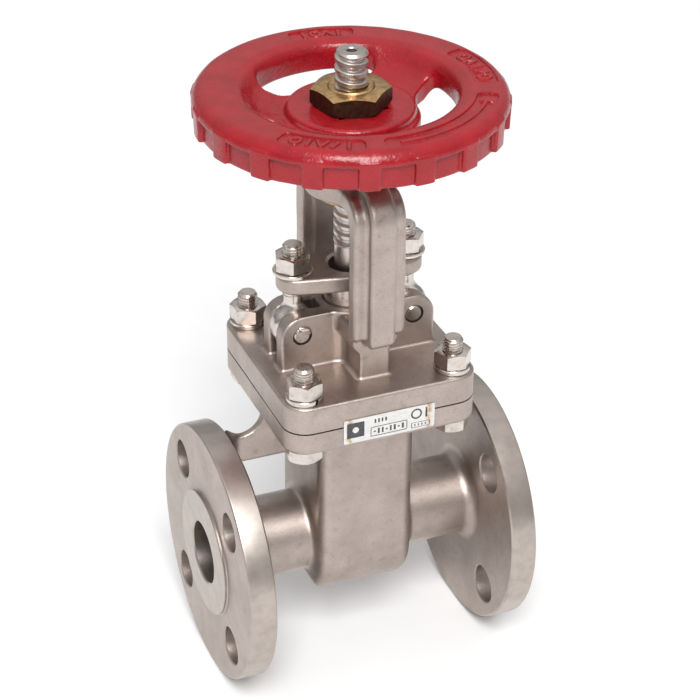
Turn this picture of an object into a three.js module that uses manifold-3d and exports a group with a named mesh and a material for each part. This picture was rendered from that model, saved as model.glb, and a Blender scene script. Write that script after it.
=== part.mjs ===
// Flanged gate valve with an outside screw and yoke, DN25, class 150.
//
// Millimetres, +Z up. The origin is where the pipe's centre line (X) meets the stem's axis (Z).
// The wedge is drawn closed, so the stem is at its lowest.

import * as THREE from 'three';
import { mergeVertices } from 'three/addons/utils/BufferGeometryUtils.js';
import Module from 'manifold-3d';

// ---------------------------------------------------------------- driving dimensions

const TURN = Math.PI * 2;
const FINE = 36;
const ROUND = 20;
const SMALL = 12;

// How far a cutting tool runs past the surface it cuts, or a joined piece runs into its neighbour.
const OVER = 1;

// Half the length of a tool that only has to reach right through whatever it cuts.
const THROUGH = 30;

const PIPE = {
  halfLength: 63.5,
  boreRadius: 13,
  flangeRadius: 53.5,
  flangeThickness: 11.1,
  flangeEdge: 1,
  raisedFaceRadius: 26.3,
  raisedFaceHeight: 1.5,
  boltCircleRadius: 39.8,
  boltHoleRadius: 8,
  neckRadius: 16.9,
  neckRise: 1.3,
  neckFillet: 4.5,
};

const CHAMBER = {
  halfX: 20.8,
  halfY: 22,
  cornerRadius: 4.5,
  bottomCentre: -4,
  bottomEdge: 12,
  wallX: 6.8,
  wallY: 4,
  cavityCorner: 3,
  cavityBottomEdge: 4,
};

const JOINT = {
  half: 40,
  cornerRadius: 9.5,
  bodyBottom: 64.5,
  bodyTop: 73.6,
  bonnetBottom: 74.5,
  bonnetTop: 85.5,
  boltOffset: 31.2,
  boltHoleRadius: 4.5,
  gasketInset: 0.8,
};

const RIB = { halfY: 2, bottom: 41, top: 53.5, filletX: 42, filletRadius: 9 };

const GUIDE = { halfX: 1.8, inner: 15.1, bottom: -8, top: 58 };

const SEAT = { outerRadius: 15.9, pocketRadius: 16.1, depth: 19, gap: 0.15 };

const WEDGE = {
  radius: 16.8,
  halfThickness: 8,
  taper: Math.tan(THREE.MathUtils.degToRad(5)),
  grooveHalfX: 2.2,
  grooveInner: 14.7,
  lugHalfX: 7,
  lugHalfY: 10,
  lugTop: 28.6,
  slotBottom: 18,
  slotTop: 24,
  slotHeadHalf: 7,
  slotNeckHalf: 4.3,
};

const STEM = {
  shankRadius: 5.92,
  threadRadius: 6.35,
  threadBottom: 132.7,
  top: 212.3,
  chamfer: 0.9,
  collarRadius: 8.4,
  collarBottom: 40,
  collarTop: 44.2,
  neckRadius: 3.9,
  headHalfX: 5,
  headHalfY: 6.6,
  headBottom: 18.4,
  headTop: 23.6,
  lugGap: 0.6,
  centreHoleRadius: 1.7,
  centreHoleDepth: 3,
};

const BOX = { radius: 13.7, top: 108, bore: 10.3, floor: 83, stemHole: 6.6 };

const BUSH = { radius: 10, pocket: 10.1, bottom: 74.6, top: 80, bore: 6.2, mouth: 8.3 };

const EAR = { inner: 3.8, outer: 10.5, centreX: 23.6, centreZ: 99.3, radius: 8.7 };

const ARM = { topHalf: 9.5, footHalf: 6.3, top: 107, shoulder: 101, waist: 96.5, reach: 24.7 };

const YOKE = {
  inner: 24.3,
  outer: 31,
  halfX: 10.6,
  legBottom: 104.7,
  underside: 156.5,
  top: 163.7,
  innerCorner: 4.5,
  outerCorner: 10.5,
  ribHalfX: 5.2,
  ribOuter: 34.8,
  ribTop: 167.5,
  ribCorner: 14,
  ribBottom: 102,
  bossRadius: 18,
  bossTop: 171,
  bossBottom: 156.5,
  bossBore: 12,
};

const PACKING = { count: 5, height: 3.5, gap: 0.02, outer: 10.2, inner: 6.05 };

const GLAND = {
  bottom: 100.6,
  flangeBottom: 116.3,
  flangeTop: 123.3,
  radius: 10.15,
  bore: 6.3,
  mouth: 8.2,
  flangeHole: 8.4,
  flangeEnd: 30.2,
  flangeEndRadius: 8.5,
  flangeMidRadius: 13,
  boltHoleRadius: 4.6,
};

const EYE = {
  x: 23.7,
  z: 100,
  radius: 9,
  halfY: 3.5,
  shankRadius: 4,
  neckRadius: 3.7,
  threadBottom: 114.5,
  top: 135.8,
  pinRadius: 3.5,
  holeRadius: 3.7,
  earHoleRadius: 4,
};

const M8 = {
  radius: 4,
  acrossFlats: 13,
  nutHeight: 6.5,
  nutBore: 4.15,
  headHeight: 5.5,
  flatWasherRadius: 7.9,
  flatWasherHeight: 1.6,
  springWasherRadius: 7.4,
  springWasherHeight: 2,
  springWasherSlit: 1.2,
  washerBore: 4.3,
  boltTop: 99.5,
  chamfer: 0.8,
  boltTurns: [20, 50, 5, 35],
};

const YOKE_NUT = {
  flangeRadius: 13.6,
  flangeBottom: 153.6,
  flangeTop: 156.2,
  sleeveRadius: 11.8,
  flatsBottom: 171.2,
  flatsHalf: 10.6,
  shoulder: 189.8,
  tipRadius: 8.6,
  tipTop: 198.3,
  tipChamfer: 0.6,
  bore: 6.5,
};

const WHEEL = {
  hubBottom: 171.5,
  hubRadius: 18.5,
  hubTop: 190.5,
  discRadius: 24.6,
  squareHalf: 10.8,
  windowInner: 26.5,
  windowOuter: 40,
  spokeHalfWidth: 11.6,
  windowCorner: 6.5,
  firstWindowAngle: 94.3,
  windows: 3,
  squareAngle: 97.3,
  spokeBottom: 180,
  spokeTop: 187,
  rimWallBottom: 186.5,
  hollowTop: 192.5,
  rimTop: 198.5,
  skirtBottom: 183.5,
  skirtRadius: 58.3,
  rimRadius: 59.8,
  lugRadius: 60.5,
  lugRoot: 1.5,
  lugTop: 192.2,
  lugs: 18,
  lugHalfAngle: 4,
  firstLugAngle: 14.3,
};

const WHEEL_NUT = { acrossFlats: 27, bore: 8.75, seat: 190.5, top: 198, turn: 43 };

const PLATE = { left: -18.4, right: 20.1, bottom: 66.2, top: 77.2, thickness: 0.5 };

// ---------------------------------------------------------------- materials

function material(colour, roughness, metalness) {
  return new THREE.MeshStandardMaterial({ color: colour, roughness, metalness });
}

const CAST_STEEL = material(0x9c948b, 0.55, 0.9);
const MACHINED_STEEL = material(0xb9b3ab, 0.3, 1);
const FASTENER_STEEL = material(0xaaa49c, 0.35, 1);
const BRONZE = material(0xa9763a, 0.35, 1);
const BRASS = material(0xb08d57, 0.4, 1);
const RED_PAINT = material(0xa8222a, 0.35, 0);
const GRAPHITE = material(0x2b2b2c, 0.8, 0.1);
const PLATE_METAL = material(0xcfccc6, 0.4, 0.8);

// ---------------------------------------------------------------- solids

// A three.js geometry as a closed solid, with its shared corners merged.
function solid(geometry) {
  const bare = geometry.clone();
  bare.deleteAttribute('normal');
  bare.deleteAttribute('uv');
  const merged = mergeVertices(bare, 1e-4);
  const index = merged.index.array;
  const triangles = [];
  for (let i = 0; i < index.length; i += 3) {
    const [a, b, c] = [index[i], index[i + 1], index[i + 2]];
    if (a !== b && b !== c && c !== a) triangles.push(a, b, c);
  }
  const mesh = new wasm.Mesh({
    numProp: 3,
    vertProperties: new Float32Array(merged.attributes.position.array),
    triVerts: new Uint32Array(triangles),
  });
  return new wasm.Manifold(mesh);
}

function union(...pieces) {
  return pieces.reduce((whole, piece) => whole.add(piece));
}

function cut(whole, ...tools) {
  return tools.reduce((left, tool) => left.subtract(tool), whole);
}

// Turns the outline's X, Y and the extrusion's direction into the three given axes.
function onAxes(geometry, across, up, along) {
  return geometry.applyMatrix4(new THREE.Matrix4().makeBasis(across, up, along));
}

const X = new THREE.Vector3(1, 0, 0);
const Y = new THREE.Vector3(0, 1, 0);
const Z = new THREE.Vector3(0, 0, 1);

// A solid of revolution about Z. The outline is [radius, height] pairs, counterclockwise.
function turned(outline, segments = ROUND) {
  const points = outline.map(([r, z]) => new THREE.Vector2(r, z));
  const geometry = new THREE.LatheGeometry(points, segments);
  return solid(onAxes(geometry, Y, Z, X));
}

// A turned ring or sleeve, whose outline doesn't touch the axis.
function ring(outline, segments = ROUND) {
  return turned([...outline, outline[0]], segments);
}

function cylinder(radius, bottom, top, segments = ROUND) {
  return turned([[0, bottom], [radius, bottom], [radius, top], [0, top]], segments);
}

function tube(inner, outer, bottom, top, segments = ROUND) {
  return ring([[inner, bottom], [outer, bottom], [outer, top], [inner, top]], segments);
}

// Moves a solid that was made about Z so that it is about X instead.
function aboutX(piece) {
  return piece.rotate([0, 90, 0]);
}

// Moves a solid that was made about Z so that it is about Y instead.
function aboutY(piece) {
  return piece.rotate([90, 0, 0]);
}

function box(x0, x1, y0, y1, z0, z1) {
  const geometry = new THREE.BoxGeometry(x1 - x0, y1 - y0, z1 - z0);
  geometry.translate((x0 + x1) / 2, (y0 + y1) / 2, (z0 + z1) / 2);
  return solid(geometry);
}

function outlineOf(points) {
  return new THREE.Shape(points.map(([x, y]) => new THREE.Vector2(x, y)));
}

function extruded(shape, from, to, curveSegments) {
  const settings = { depth: to - from, bevelEnabled: false, curveSegments };
  return new THREE.ExtrudeGeometry(shape, settings).translate(0, 0, from);
}

// An outline in X and Y, drawn up from one height to another.
function upright(shape, bottom, top, curveSegments = 5) {
  return solid(extruded(shape, bottom, top, curveSegments));
}

// An outline in X and Z, drawn along Y.
function alongY(shape, from, to, curveSegments = 5) {
  return solid(onAxes(extruded(shape, -to, -from, curveSegments), X, Z, Y.clone().negate()));
}

// An outline in Y and Z, drawn along X.
function alongX(shape, from, to, curveSegments = 5) {
  return solid(onAxes(extruded(shape, from, to, curveSegments), Y, Z, X));
}

// A rectangle with its four corners rounded by the given radii, from the lower left, anticlockwise.
function roundedRectangle(x0, x1, y0, y1, lowLeft, lowRight, highRight, highLeft) {
  const shape = new THREE.Shape();
  shape.moveTo(x0 + lowLeft, y0);
  shape.lineTo(x1 - lowRight, y0);
  if (lowRight) shape.absarc(x1 - lowRight, y0 + lowRight, lowRight, -TURN / 4, 0);
  shape.lineTo(x1, y1 - highRight);
  if (highRight) shape.absarc(x1 - highRight, y1 - highRight, highRight, 0, TURN / 4);
  shape.lineTo(x0 + highLeft, y1);
  if (highLeft) shape.absarc(x0 + highLeft, y1 - highLeft, highLeft, TURN / 4, TURN / 2);
  shape.lineTo(x0, y0 + lowLeft);
  if (lowLeft) shape.absarc(x0 + lowLeft, y0 + lowLeft, lowLeft, TURN / 2, TURN * 0.75);
  return shape;
}

function roundedSquare(half, corner) {
  return roundedRectangle(-half, half, -half, half, corner, corner, corner, corner);
}

// A hexagonal prism about Z with a chamfer on its corners at either end.
function hexagon(acrossFlats, bottom, top, chamferBottom, chamferTop) {
  const corner = acrossFlats / Math.sqrt(3);
  const points = [];
  for (let i = 0; i < 6; i += 1) {
    points.push([corner * Math.cos((i * TURN) / 6), corner * Math.sin((i * TURN) / 6)]);
  }
  const prism = upright(outlineOf(points), bottom, top);
  const flat = acrossFlats / 2;
  const reach = corner + 0.5;
  const rise = (reach - flat) / 2;
  const blank = [[0, bottom]];
  if (chamferBottom) blank.push([flat, bottom], [reach, bottom + rise]);
  else blank.push([reach, bottom]);
  if (chamferTop) blank.push([reach, top - rise], [flat, top]);
  else blank.push([reach, top]);
  blank.push([0, top]);
  return prism.intersect(turned(blank));
}

// ---------------------------------------------------------------- the assembly

const valve = new THREE.Group();

function add(name, piece, look) {
  const { vertProperties, triVerts } = piece.getMesh();
  const geometry = new THREE.BufferGeometry();
  geometry.setAttribute('position', new THREE.BufferAttribute(new Float32Array(vertProperties), 3));
  geometry.setIndex(new THREE.BufferAttribute(new Uint32Array(triVerts), 1));
  const mesh = new THREE.Mesh(geometry, look);
  mesh.name = name;
  valve.add(mesh);
  return mesh;
}

const wasm = await Module();
wasm.setup();

// ---------------------------------------------------------------- body

// One pipe flange with its raised face and the fillet onto the neck, at +X.
function pipeFlange() {
  const face = PIPE.halfLength;
  const front = face - PIPE.raisedFaceHeight;
  const back = front - PIPE.flangeThickness;
  const edge = PIPE.flangeEdge;
  const outline = [
    [0, back - PIPE.neckFillet],
    [PIPE.neckRadius, back - PIPE.neckFillet],
    [PIPE.neckRadius + 0.3 * PIPE.neckFillet, back - 0.3 * PIPE.neckFillet],
    [PIPE.neckRadius + PIPE.neckFillet, back],
    [PIPE.flangeRadius - edge, back],
    [PIPE.flangeRadius, back + edge],
    [PIPE.flangeRadius, front - edge],
    [PIPE.flangeRadius - edge, front],
    [PIPE.raisedFaceRadius, front],
    [PIPE.raisedFaceRadius, face],
    [0, face],
  ];
  return aboutX(turned(outline, FINE));
}

// The wedge chamber, or the space inside it: upright walls on a half-round bottom.
function chamber(halfX, halfY, top, corner, bottomEdge) {
  const bottom = CHAMBER.bottomCentre - halfY;
  const section = new THREE.Shape();
  section.moveTo(halfY, top);
  section.lineTo(-halfY, top);
  section.lineTo(-halfY, CHAMBER.bottomCentre);
  section.absarc(0, CHAMBER.bottomCentre, halfY, TURN / 2, TURN);
  const side = roundedRectangle(-halfX, halfX, bottom, top, bottomEdge, bottomEdge, 0, 0);
  const plan = roundedRectangle(-halfX, halfX, -halfY, halfY, corner, corner, corner, corner);
  return alongX(section, -halfX, halfX, 12)
    .intersect(alongY(side, -halfY, halfY))
    .intersect(upright(plan, bottom, top));
}

// The stiffening rib at +X, from the chamber to the pipe flange, filleted up to the body flange.
function rib() {
  const end = PIPE.halfLength - PIPE.raisedFaceHeight - PIPE.flangeThickness / 2;
  const root = CHAMBER.halfX - CHAMBER.wallX / 2;
  const { bottom, top, filletX, filletRadius } = RIB;
  const shape = new THREE.Shape();
  shape.moveTo(root, bottom);
  shape.lineTo(end, bottom);
  shape.lineTo(end, top);
  shape.lineTo(filletX + filletRadius / 2, top);
  shape.absarc(filletX + filletRadius / 2, top + filletRadius, filletRadius, -TURN / 4, -TURN / 2, true);
  shape.lineTo(filletX - filletRadius / 2, JOINT.bodyBottom + OVER);
  shape.lineTo(root, JOINT.bodyBottom + OVER);
  return alongY(shape, -RIB.halfY, RIB.halfY);
}

function jointBoltHoles(bottom, top) {
  const holes = [];
  for (const x of [-JOINT.boltOffset, JOINT.boltOffset]) {
    for (const y of [-JOINT.boltOffset, JOINT.boltOffset]) {
      holes.push(cylinder(JOINT.boltHoleRadius, bottom, top, SMALL).translate([x, y, 0]));
    }
  }
  return union(...holes);
}

// The four holes of each pipe flange. Nothing between the two flanges is cut.
function pipeBoltHoles() {
  const start = PIPE.halfLength - PIPE.raisedFaceHeight - PIPE.flangeThickness - OVER;
  const hole = aboutX(cylinder(PIPE.boltHoleRadius, start, PIPE.halfLength + OVER, SMALL));
  const holes = [];
  for (let i = 0; i < 4; i += 1) {
    const angle = TURN / 8 + (i * TURN) / 4;
    const y = PIPE.boltCircleRadius * Math.cos(angle);
    const z = PIPE.boltCircleRadius * Math.sin(angle);
    const placed = hole.translate([0, y, z]);
    holes.push(placed, placed.mirror([1, 0, 0]));
  }
  return union(...holes);
}

// The wedge's guide rails, on the chamber's front and back walls.
function guideRails() {
  const wall = CHAMBER.halfY - CHAMBER.wallY / 2;
  const { halfX, inner, bottom, top } = GUIDE;
  return union(
    box(-halfX, halfX, inner, wall, bottom, top),
    box(-halfX, halfX, -wall, -inner, bottom, top),
  );
}

function makeBody() {
  const flange = pipeFlange();
  const neckEnd = PIPE.halfLength - PIPE.raisedFaceHeight - PIPE.flangeThickness / 2;
  const neck = cylinder(PIPE.neckRadius, -neckEnd, neckEnd, FINE);
  const outside = union(
    flange,
    flange.mirror([1, 0, 0]),
    aboutX(neck).translate([0, 0, PIPE.neckRise]),
    chamber(CHAMBER.halfX, CHAMBER.halfY, JOINT.bodyTop, CHAMBER.cornerRadius, CHAMBER.bottomEdge),
    upright(roundedSquare(JOINT.half, JOINT.cornerRadius), JOINT.bodyBottom, JOINT.bodyTop),
    rib(),
    rib().mirror([1, 0, 0]),
  );
  const cavityX = CHAMBER.halfX - CHAMBER.wallX;
  const cavityY = CHAMBER.halfY - CHAMBER.wallY;
  const reach = PIPE.halfLength + OVER;
  const { cavityCorner, cavityBottomEdge } = CHAMBER;
  const hollow = union(
    chamber(cavityX, cavityY, JOINT.bodyTop + OVER, cavityCorner, cavityBottomEdge),
    aboutX(cylinder(PIPE.boreRadius, -reach, reach, FINE)),
    aboutX(cylinder(SEAT.pocketRadius, -SEAT.depth, SEAT.depth, FINE)),
    pipeBoltHoles(),
    jointBoltHoles(JOINT.bodyBottom - OVER, JOINT.bodyTop + OVER),
  );
  add('body', union(cut(outside, hollow), guideRails()), CAST_STEEL);
}

// ---------------------------------------------------------------- seats and wedge

// A block with the wedge's two tapered faces, grown by a gap on each.
function taperBlock(gap, reach) {
  const half = (z) => WEDGE.halfThickness + gap + z * WEDGE.taper;
  const [low, high] = [half(-reach), half(reach)];
  const points = [[-low, -reach], [low, -reach], [high, reach], [-high, reach]];
  return alongY(outlineOf(points), -reach, reach);
}

function makeSeats() {
  const blank = aboutX(tube(PIPE.boreRadius, SEAT.outerRadius, OVER, SEAT.depth));
  const seat = cut(blank, taperBlock(SEAT.gap, THROUGH));
  add('seat_ring_outlet', seat, MACHINED_STEEL);
  add('seat_ring_inlet', seat.mirror([1, 0, 0]), MACHINED_STEEL);
}

function makeWedge() {
  const { radius, lugHalfX, lugHalfY, lugTop, grooveHalfX, grooveInner } = WEDGE;
  const { slotBottom, slotTop, slotHeadHalf, slotNeckHalf } = WEDGE;
  const disc = aboutX(cylinder(radius, -THROUGH, THROUGH, FINE)).intersect(taperBlock(0, THROUGH));
  const lug = box(-lugHalfX, lugHalfX, -lugHalfY, lugHalfY, radius / 2, lugTop);
  const slot = union(
    box(-THROUGH, THROUGH, -slotHeadHalf, slotHeadHalf, slotBottom, slotTop),
    box(-THROUGH, THROUGH, -slotNeckHalf, slotNeckHalf, slotTop - OVER, lugTop + OVER),
  );
  const grooves = union(
    box(-grooveHalfX, grooveHalfX, grooveInner, THROUGH, -THROUGH, THROUGH),
    box(-grooveHalfX, grooveHalfX, -THROUGH, -grooveInner, -THROUGH, THROUGH),
  );
  add('wedge', cut(union(disc, lug), slot, grooves), MACHINED_STEEL);
}

// ---------------------------------------------------------------- stem

function makeStem() {
  const { shankRadius, threadRadius, threadBottom, top, chamfer } = STEM;
  const { collarRadius, collarBottom, collarTop, neckRadius, headTop, headBottom } = STEM;
  const cone = collarRadius - shankRadius;
  const shoulder = WEDGE.lugTop + STEM.lugGap;
  const rod = turned([
    [0, headTop - OVER],
    [neckRadius, headTop - OVER],
    [neckRadius, shoulder],
    [shankRadius, shoulder + 1],
    [shankRadius, collarBottom],
    [collarRadius, collarBottom],
    [collarRadius, collarTop - cone],
    [shankRadius, collarTop],
    [shankRadius, threadBottom],
    [threadRadius, threadBottom + chamfer],
    [threadRadius, top - chamfer],
    [threadRadius - chamfer, top],
    [STEM.centreHoleRadius, top],
    [0, top - STEM.centreHoleDepth],
  ]);
  const { headHalfX, headHalfY } = STEM;
  const head = box(-headHalfX, headHalfX, -headHalfY, headHalfY, headBottom, headTop);
  add('stem', union(rod, head), MACHINED_STEEL);
}

// ---------------------------------------------------------------- bonnet

// The arch of the yoke, or its outer rib, as an outline in Y and Z.
function arch(outer, top, outerCorner, bottom) {
  const whole = roundedRectangle(-outer, outer, bottom, top, 0, 0, outerCorner, outerCorner);
  const { inner, underside, innerCorner } = YOKE;
  const opening = roundedRectangle(-inner, inner, bottom - OVER, underside, 0, 0, innerCorner, innerCorner);
  return { whole, opening };
}

function yokeArch(outer, top, outerCorner, bottom, halfX) {
  const { whole, opening } = arch(outer, top, outerCorner, bottom);
  return alongX(whole, -halfX, halfX).subtract(alongX(opening, -halfX - OVER, halfX + OVER));
}

// The pair of lugs that hold the eyebolts, as an outline in X and Z.
function earOutline() {
  const { centreX, centreZ, radius } = EAR;
  const reach = centreX + radius;
  return roundedRectangle(-reach, reach, JOINT.bonnetTop - OVER, centreZ + radius, 0, 0, radius, radius);
}

// The T-shaped arm from the stuffing box to both legs, and its foot on the cover.
function armOutline() {
  const { topHalf, footHalf, top, shoulder, waist } = ARM;
  const base = JOINT.bonnetTop - OVER;
  return outlineOf([
    [-footHalf, base],
    [footHalf, base],
    [footHalf, waist],
    [topHalf, shoulder],
    [topHalf, top],
    [-topHalf, top],
    [-topHalf, shoulder],
    [-footHalf, waist],
  ]);
}

function makeBonnet() {
  const cover = upright(roundedSquare(JOINT.half, JOINT.cornerRadius), JOINT.bonnetBottom, JOINT.bonnetTop);
  const outside = union(
    cover,
    cylinder(BOX.radius, JOINT.bonnetTop - OVER, BOX.top),
    alongY(earOutline(), EAR.inner, EAR.outer),
    alongY(earOutline(), -EAR.outer, -EAR.inner),
    alongY(armOutline(), -ARM.reach, ARM.reach),
    yokeArch(YOKE.outer, YOKE.top, YOKE.outerCorner, YOKE.legBottom, YOKE.halfX),
    yokeArch(YOKE.ribOuter, YOKE.ribTop, YOKE.ribCorner, YOKE.ribBottom, YOKE.ribHalfX),
    cylinder(YOKE.bossRadius, YOKE.bossBottom, YOKE.bossTop),
  );
  const pinHoles = [-EYE.x, EYE.x].map(
    (x) => aboutY(cylinder(EYE.earHoleRadius, -THROUGH, THROUGH, SMALL)).translate([x, 0, EYE.z]),
  );
  const hollow = union(
    cylinder(BUSH.pocket, JOINT.bonnetBottom - OVER, BUSH.top),
    cylinder(BOX.stemHole, BUSH.top - OVER, BOX.floor + OVER),
    cylinder(BOX.bore, BOX.floor, BOX.top + OVER),
    cylinder(YOKE.bossBore, YOKE.bossBottom - OVER, YOKE.bossTop + OVER),
    ...pinHoles,
    jointBoltHoles(JOINT.bonnetBottom - OVER, JOINT.bonnetTop + OVER),
  );
  add('bonnet', cut(outside, hollow), CAST_STEEL);
}

function makeGasket() {
  const { gasketInset, half, cornerRadius, bodyTop, bonnetBottom } = JOINT;
  const edge = roundedSquare(half - gasketInset, cornerRadius - gasketInset);
  const sheet = upright(edge, bodyTop, bonnetBottom);
  const x = CHAMBER.halfX - CHAMBER.wallX;
  const y = CHAMBER.halfY - CHAMBER.wallY;
  const corner = CHAMBER.cavityCorner;
  const opening = roundedRectangle(-x, x, -y, y, corner, corner, corner, corner);
  const gasket = cut(
    sheet,
    upright(opening, bodyTop - OVER, bonnetBottom + OVER),
    jointBoltHoles(bodyTop - OVER, bonnetBottom + OVER),
  );
  add('bonnet_gasket', gasket, GRAPHITE);
}

// ---------------------------------------------------------------- stem seal

function makeBackSeatBush() {
  const { radius, bottom, top, bore, mouth } = BUSH;
  const outline = [
    [mouth, bottom],
    [radius, bottom],
    [radius, top],
    [bore, top],
    [bore, bottom + mouth - bore],
  ];
  add('back_seat_bush', ring(outline), BRONZE);
}

function makePacking() {
  for (let i = 0; i < PACKING.count; i += 1) {
    const bottom = BOX.floor + i * PACKING.height;
    const outline = tube(PACKING.inner, PACKING.outer, bottom, bottom + PACKING.height - PACKING.gap);
    add(`packing_ring_${i + 1}`, outline, GRAPHITE);
  }
}

function makeGland() {
  const { bottom, flangeBottom, radius, bore, mouth } = GLAND;
  const sleeve = [
    [bore, bottom],
    [radius, bottom],
    [radius, flangeBottom],
    [mouth, flangeBottom],
    [mouth, flangeBottom - 1],
    [bore, flangeBottom - 3],
  ];
  add('packing_gland', ring(sleeve), MACHINED_STEEL);
}

// A plate that narrows from its round middle to its two round ends.
function glandOutline() {
  const { flangeEnd, flangeEndRadius, flangeMidRadius } = GLAND;
  const distance = flangeEnd - flangeEndRadius;
  const tilt = Math.acos((flangeMidRadius - flangeEndRadius) / distance);
  const shape = new THREE.Shape();
  shape.absarc(distance, 0, flangeEndRadius, -tilt, tilt);
  shape.absarc(0, 0, flangeMidRadius, tilt, TURN / 2 - tilt);
  shape.absarc(-distance, 0, flangeEndRadius, TURN / 2 - tilt, TURN / 2 + tilt);
  shape.absarc(0, 0, flangeMidRadius, TURN / 2 + tilt, TURN - tilt);
  return shape;
}

function makeGlandFlange() {
  const { flangeBottom, flangeTop, flangeHole, boltHoleRadius } = GLAND;
  const bolt = cylinder(boltHoleRadius, flangeBottom - OVER, flangeTop + OVER, SMALL);
  const plate = cut(
    upright(glandOutline(), flangeBottom, flangeTop, 8),
    cylinder(flangeHole, flangeBottom - OVER, flangeTop + OVER),
    bolt.translate([EYE.x, 0, 0]),
    bolt.translate([-EYE.x, 0, 0]),
  );
  add('gland_flange', plate, CAST_STEEL);
}

// ---------------------------------------------------------------- fasteners

function nut(bottom) {
  const top = bottom + M8.nutHeight;
  const blank = hexagon(M8.acrossFlats, bottom, top, true, true);
  return cut(blank, cylinder(M8.nutBore, bottom - OVER, top + OVER, SMALL));
}

// An eyebolt about the Z axis: a flat-sided round eye, a neck and a threaded shank.
function eyebolt() {
  const { z, radius, halfY, shankRadius, neckRadius, threadBottom, top, holeRadius } = EYE;
  const eye = aboutY(cylinder(radius, -halfY, halfY)).translate([0, 0, z]);
  const shank = turned([
    [0, z],
    [neckRadius, z],
    [neckRadius, threadBottom - M8.chamfer],
    [shankRadius, threadBottom],
    [shankRadius, top - M8.chamfer],
    [shankRadius - M8.chamfer, top],
    [0, top],
  ], SMALL);
  const hole = aboutY(cylinder(holeRadius, -THROUGH, THROUGH, SMALL)).translate([0, 0, z]);
  return cut(union(eye, shank), hole);
}

function makeGlandFasteners() {
  const washerTop = GLAND.flangeTop + M8.flatWasherHeight;
  const washer = tube(M8.washerBore, M8.flatWasherRadius, GLAND.flangeTop, washerTop);
  const pin = aboutY(cylinder(EYE.pinRadius, -EAR.outer, EAR.outer, SMALL)).translate([0, 0, EYE.z]);
  for (const [side, x] of [['left', -EYE.x], ['right', EYE.x]]) {
    add(`eyebolt_${side}`, eyebolt().translate([x, 0, 0]), FASTENER_STEEL);
    add(`eyebolt_pin_${side}`, pin.translate([x, 0, 0]), FASTENER_STEEL);
    add(`gland_washer_${side}`, washer.translate([x, 0, 0]), FASTENER_STEEL);
    add(`gland_nut_${side}`, nut(washerTop).translate([x, 0, 0]), FASTENER_STEEL);
  }
}

// A hexagon-headed bolt, with its head under the body's flange.
function bonnetBolt() {
  const bottom = JOINT.bodyBottom - M8.headHeight;
  const head = hexagon(M8.acrossFlats, bottom, JOINT.bodyBottom, true, false);
  const shank = turned([
    [0, JOINT.bodyBottom - OVER],
    [M8.radius, JOINT.bodyBottom - OVER],
    [M8.radius, M8.boltTop - M8.chamfer],
    [M8.radius - M8.chamfer, M8.boltTop],
    [0, M8.boltTop],
  ], SMALL);
  return union(head, shank);
}

// A split spring washer on the cover. Its slit faces -Y.
function springWasher() {
  const bottom = JOINT.bonnetTop;
  const top = bottom + M8.springWasherHeight;
  const slit = M8.springWasherSlit / 2;
  const whole = tube(M8.washerBore, M8.springWasherRadius, bottom, top);
  return cut(whole, box(-slit, slit, -THROUGH, 0, bottom - OVER, top + OVER));
}

function makeBonnetFasteners() {
  const places = [[-1, -1], [1, -1], [1, 1], [-1, 1]];
  const nutSeat = JOINT.bonnetTop + M8.springWasherHeight;
  places.forEach(([across, along], i) => {
    const place = [across * JOINT.boltOffset, along * JOINT.boltOffset, 0];
    const turn = [0, 0, M8.boltTurns[i]];
    add(`bonnet_bolt_${i + 1}`, bonnetBolt().rotate(turn).translate(place), FASTENER_STEEL);
    add(`spring_washer_${i + 1}`, springWasher().rotate(turn).translate(place), FASTENER_STEEL);
    add(`bonnet_nut_${i + 1}`, nut(nutSeat).rotate(turn).translate(place), FASTENER_STEEL);
  });
}

// ---------------------------------------------------------------- yoke nut and handwheel

function makeYokeNut() {
  const { flangeRadius, flangeBottom, flangeTop, sleeveRadius, bore } = YOKE_NUT;
  const { flatsBottom, flatsHalf, shoulder, tipRadius, tipTop, tipChamfer } = YOKE_NUT;
  const blank = ring([
    [bore, flangeBottom],
    [flangeRadius, flangeBottom],
    [flangeRadius, flangeTop],
    [sleeveRadius, flangeTop],
    [sleeveRadius, shoulder],
    [tipRadius, shoulder],
    [tipRadius, tipTop - tipChamfer],
    [tipRadius - tipChamfer, tipTop],
    [bore, tipTop],
  ]);
  const around = box(-THROUGH, THROUGH, -THROUGH, THROUGH, flatsBottom, shoulder);
  const square = box(-flatsHalf, flatsHalf, -flatsHalf, flatsHalf, flatsBottom - OVER, shoulder + OVER);
  add('yoke_nut', cut(blank, cut(around, square).rotate([0, 0, WHEEL.squareAngle])), BRONZE);
}

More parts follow.
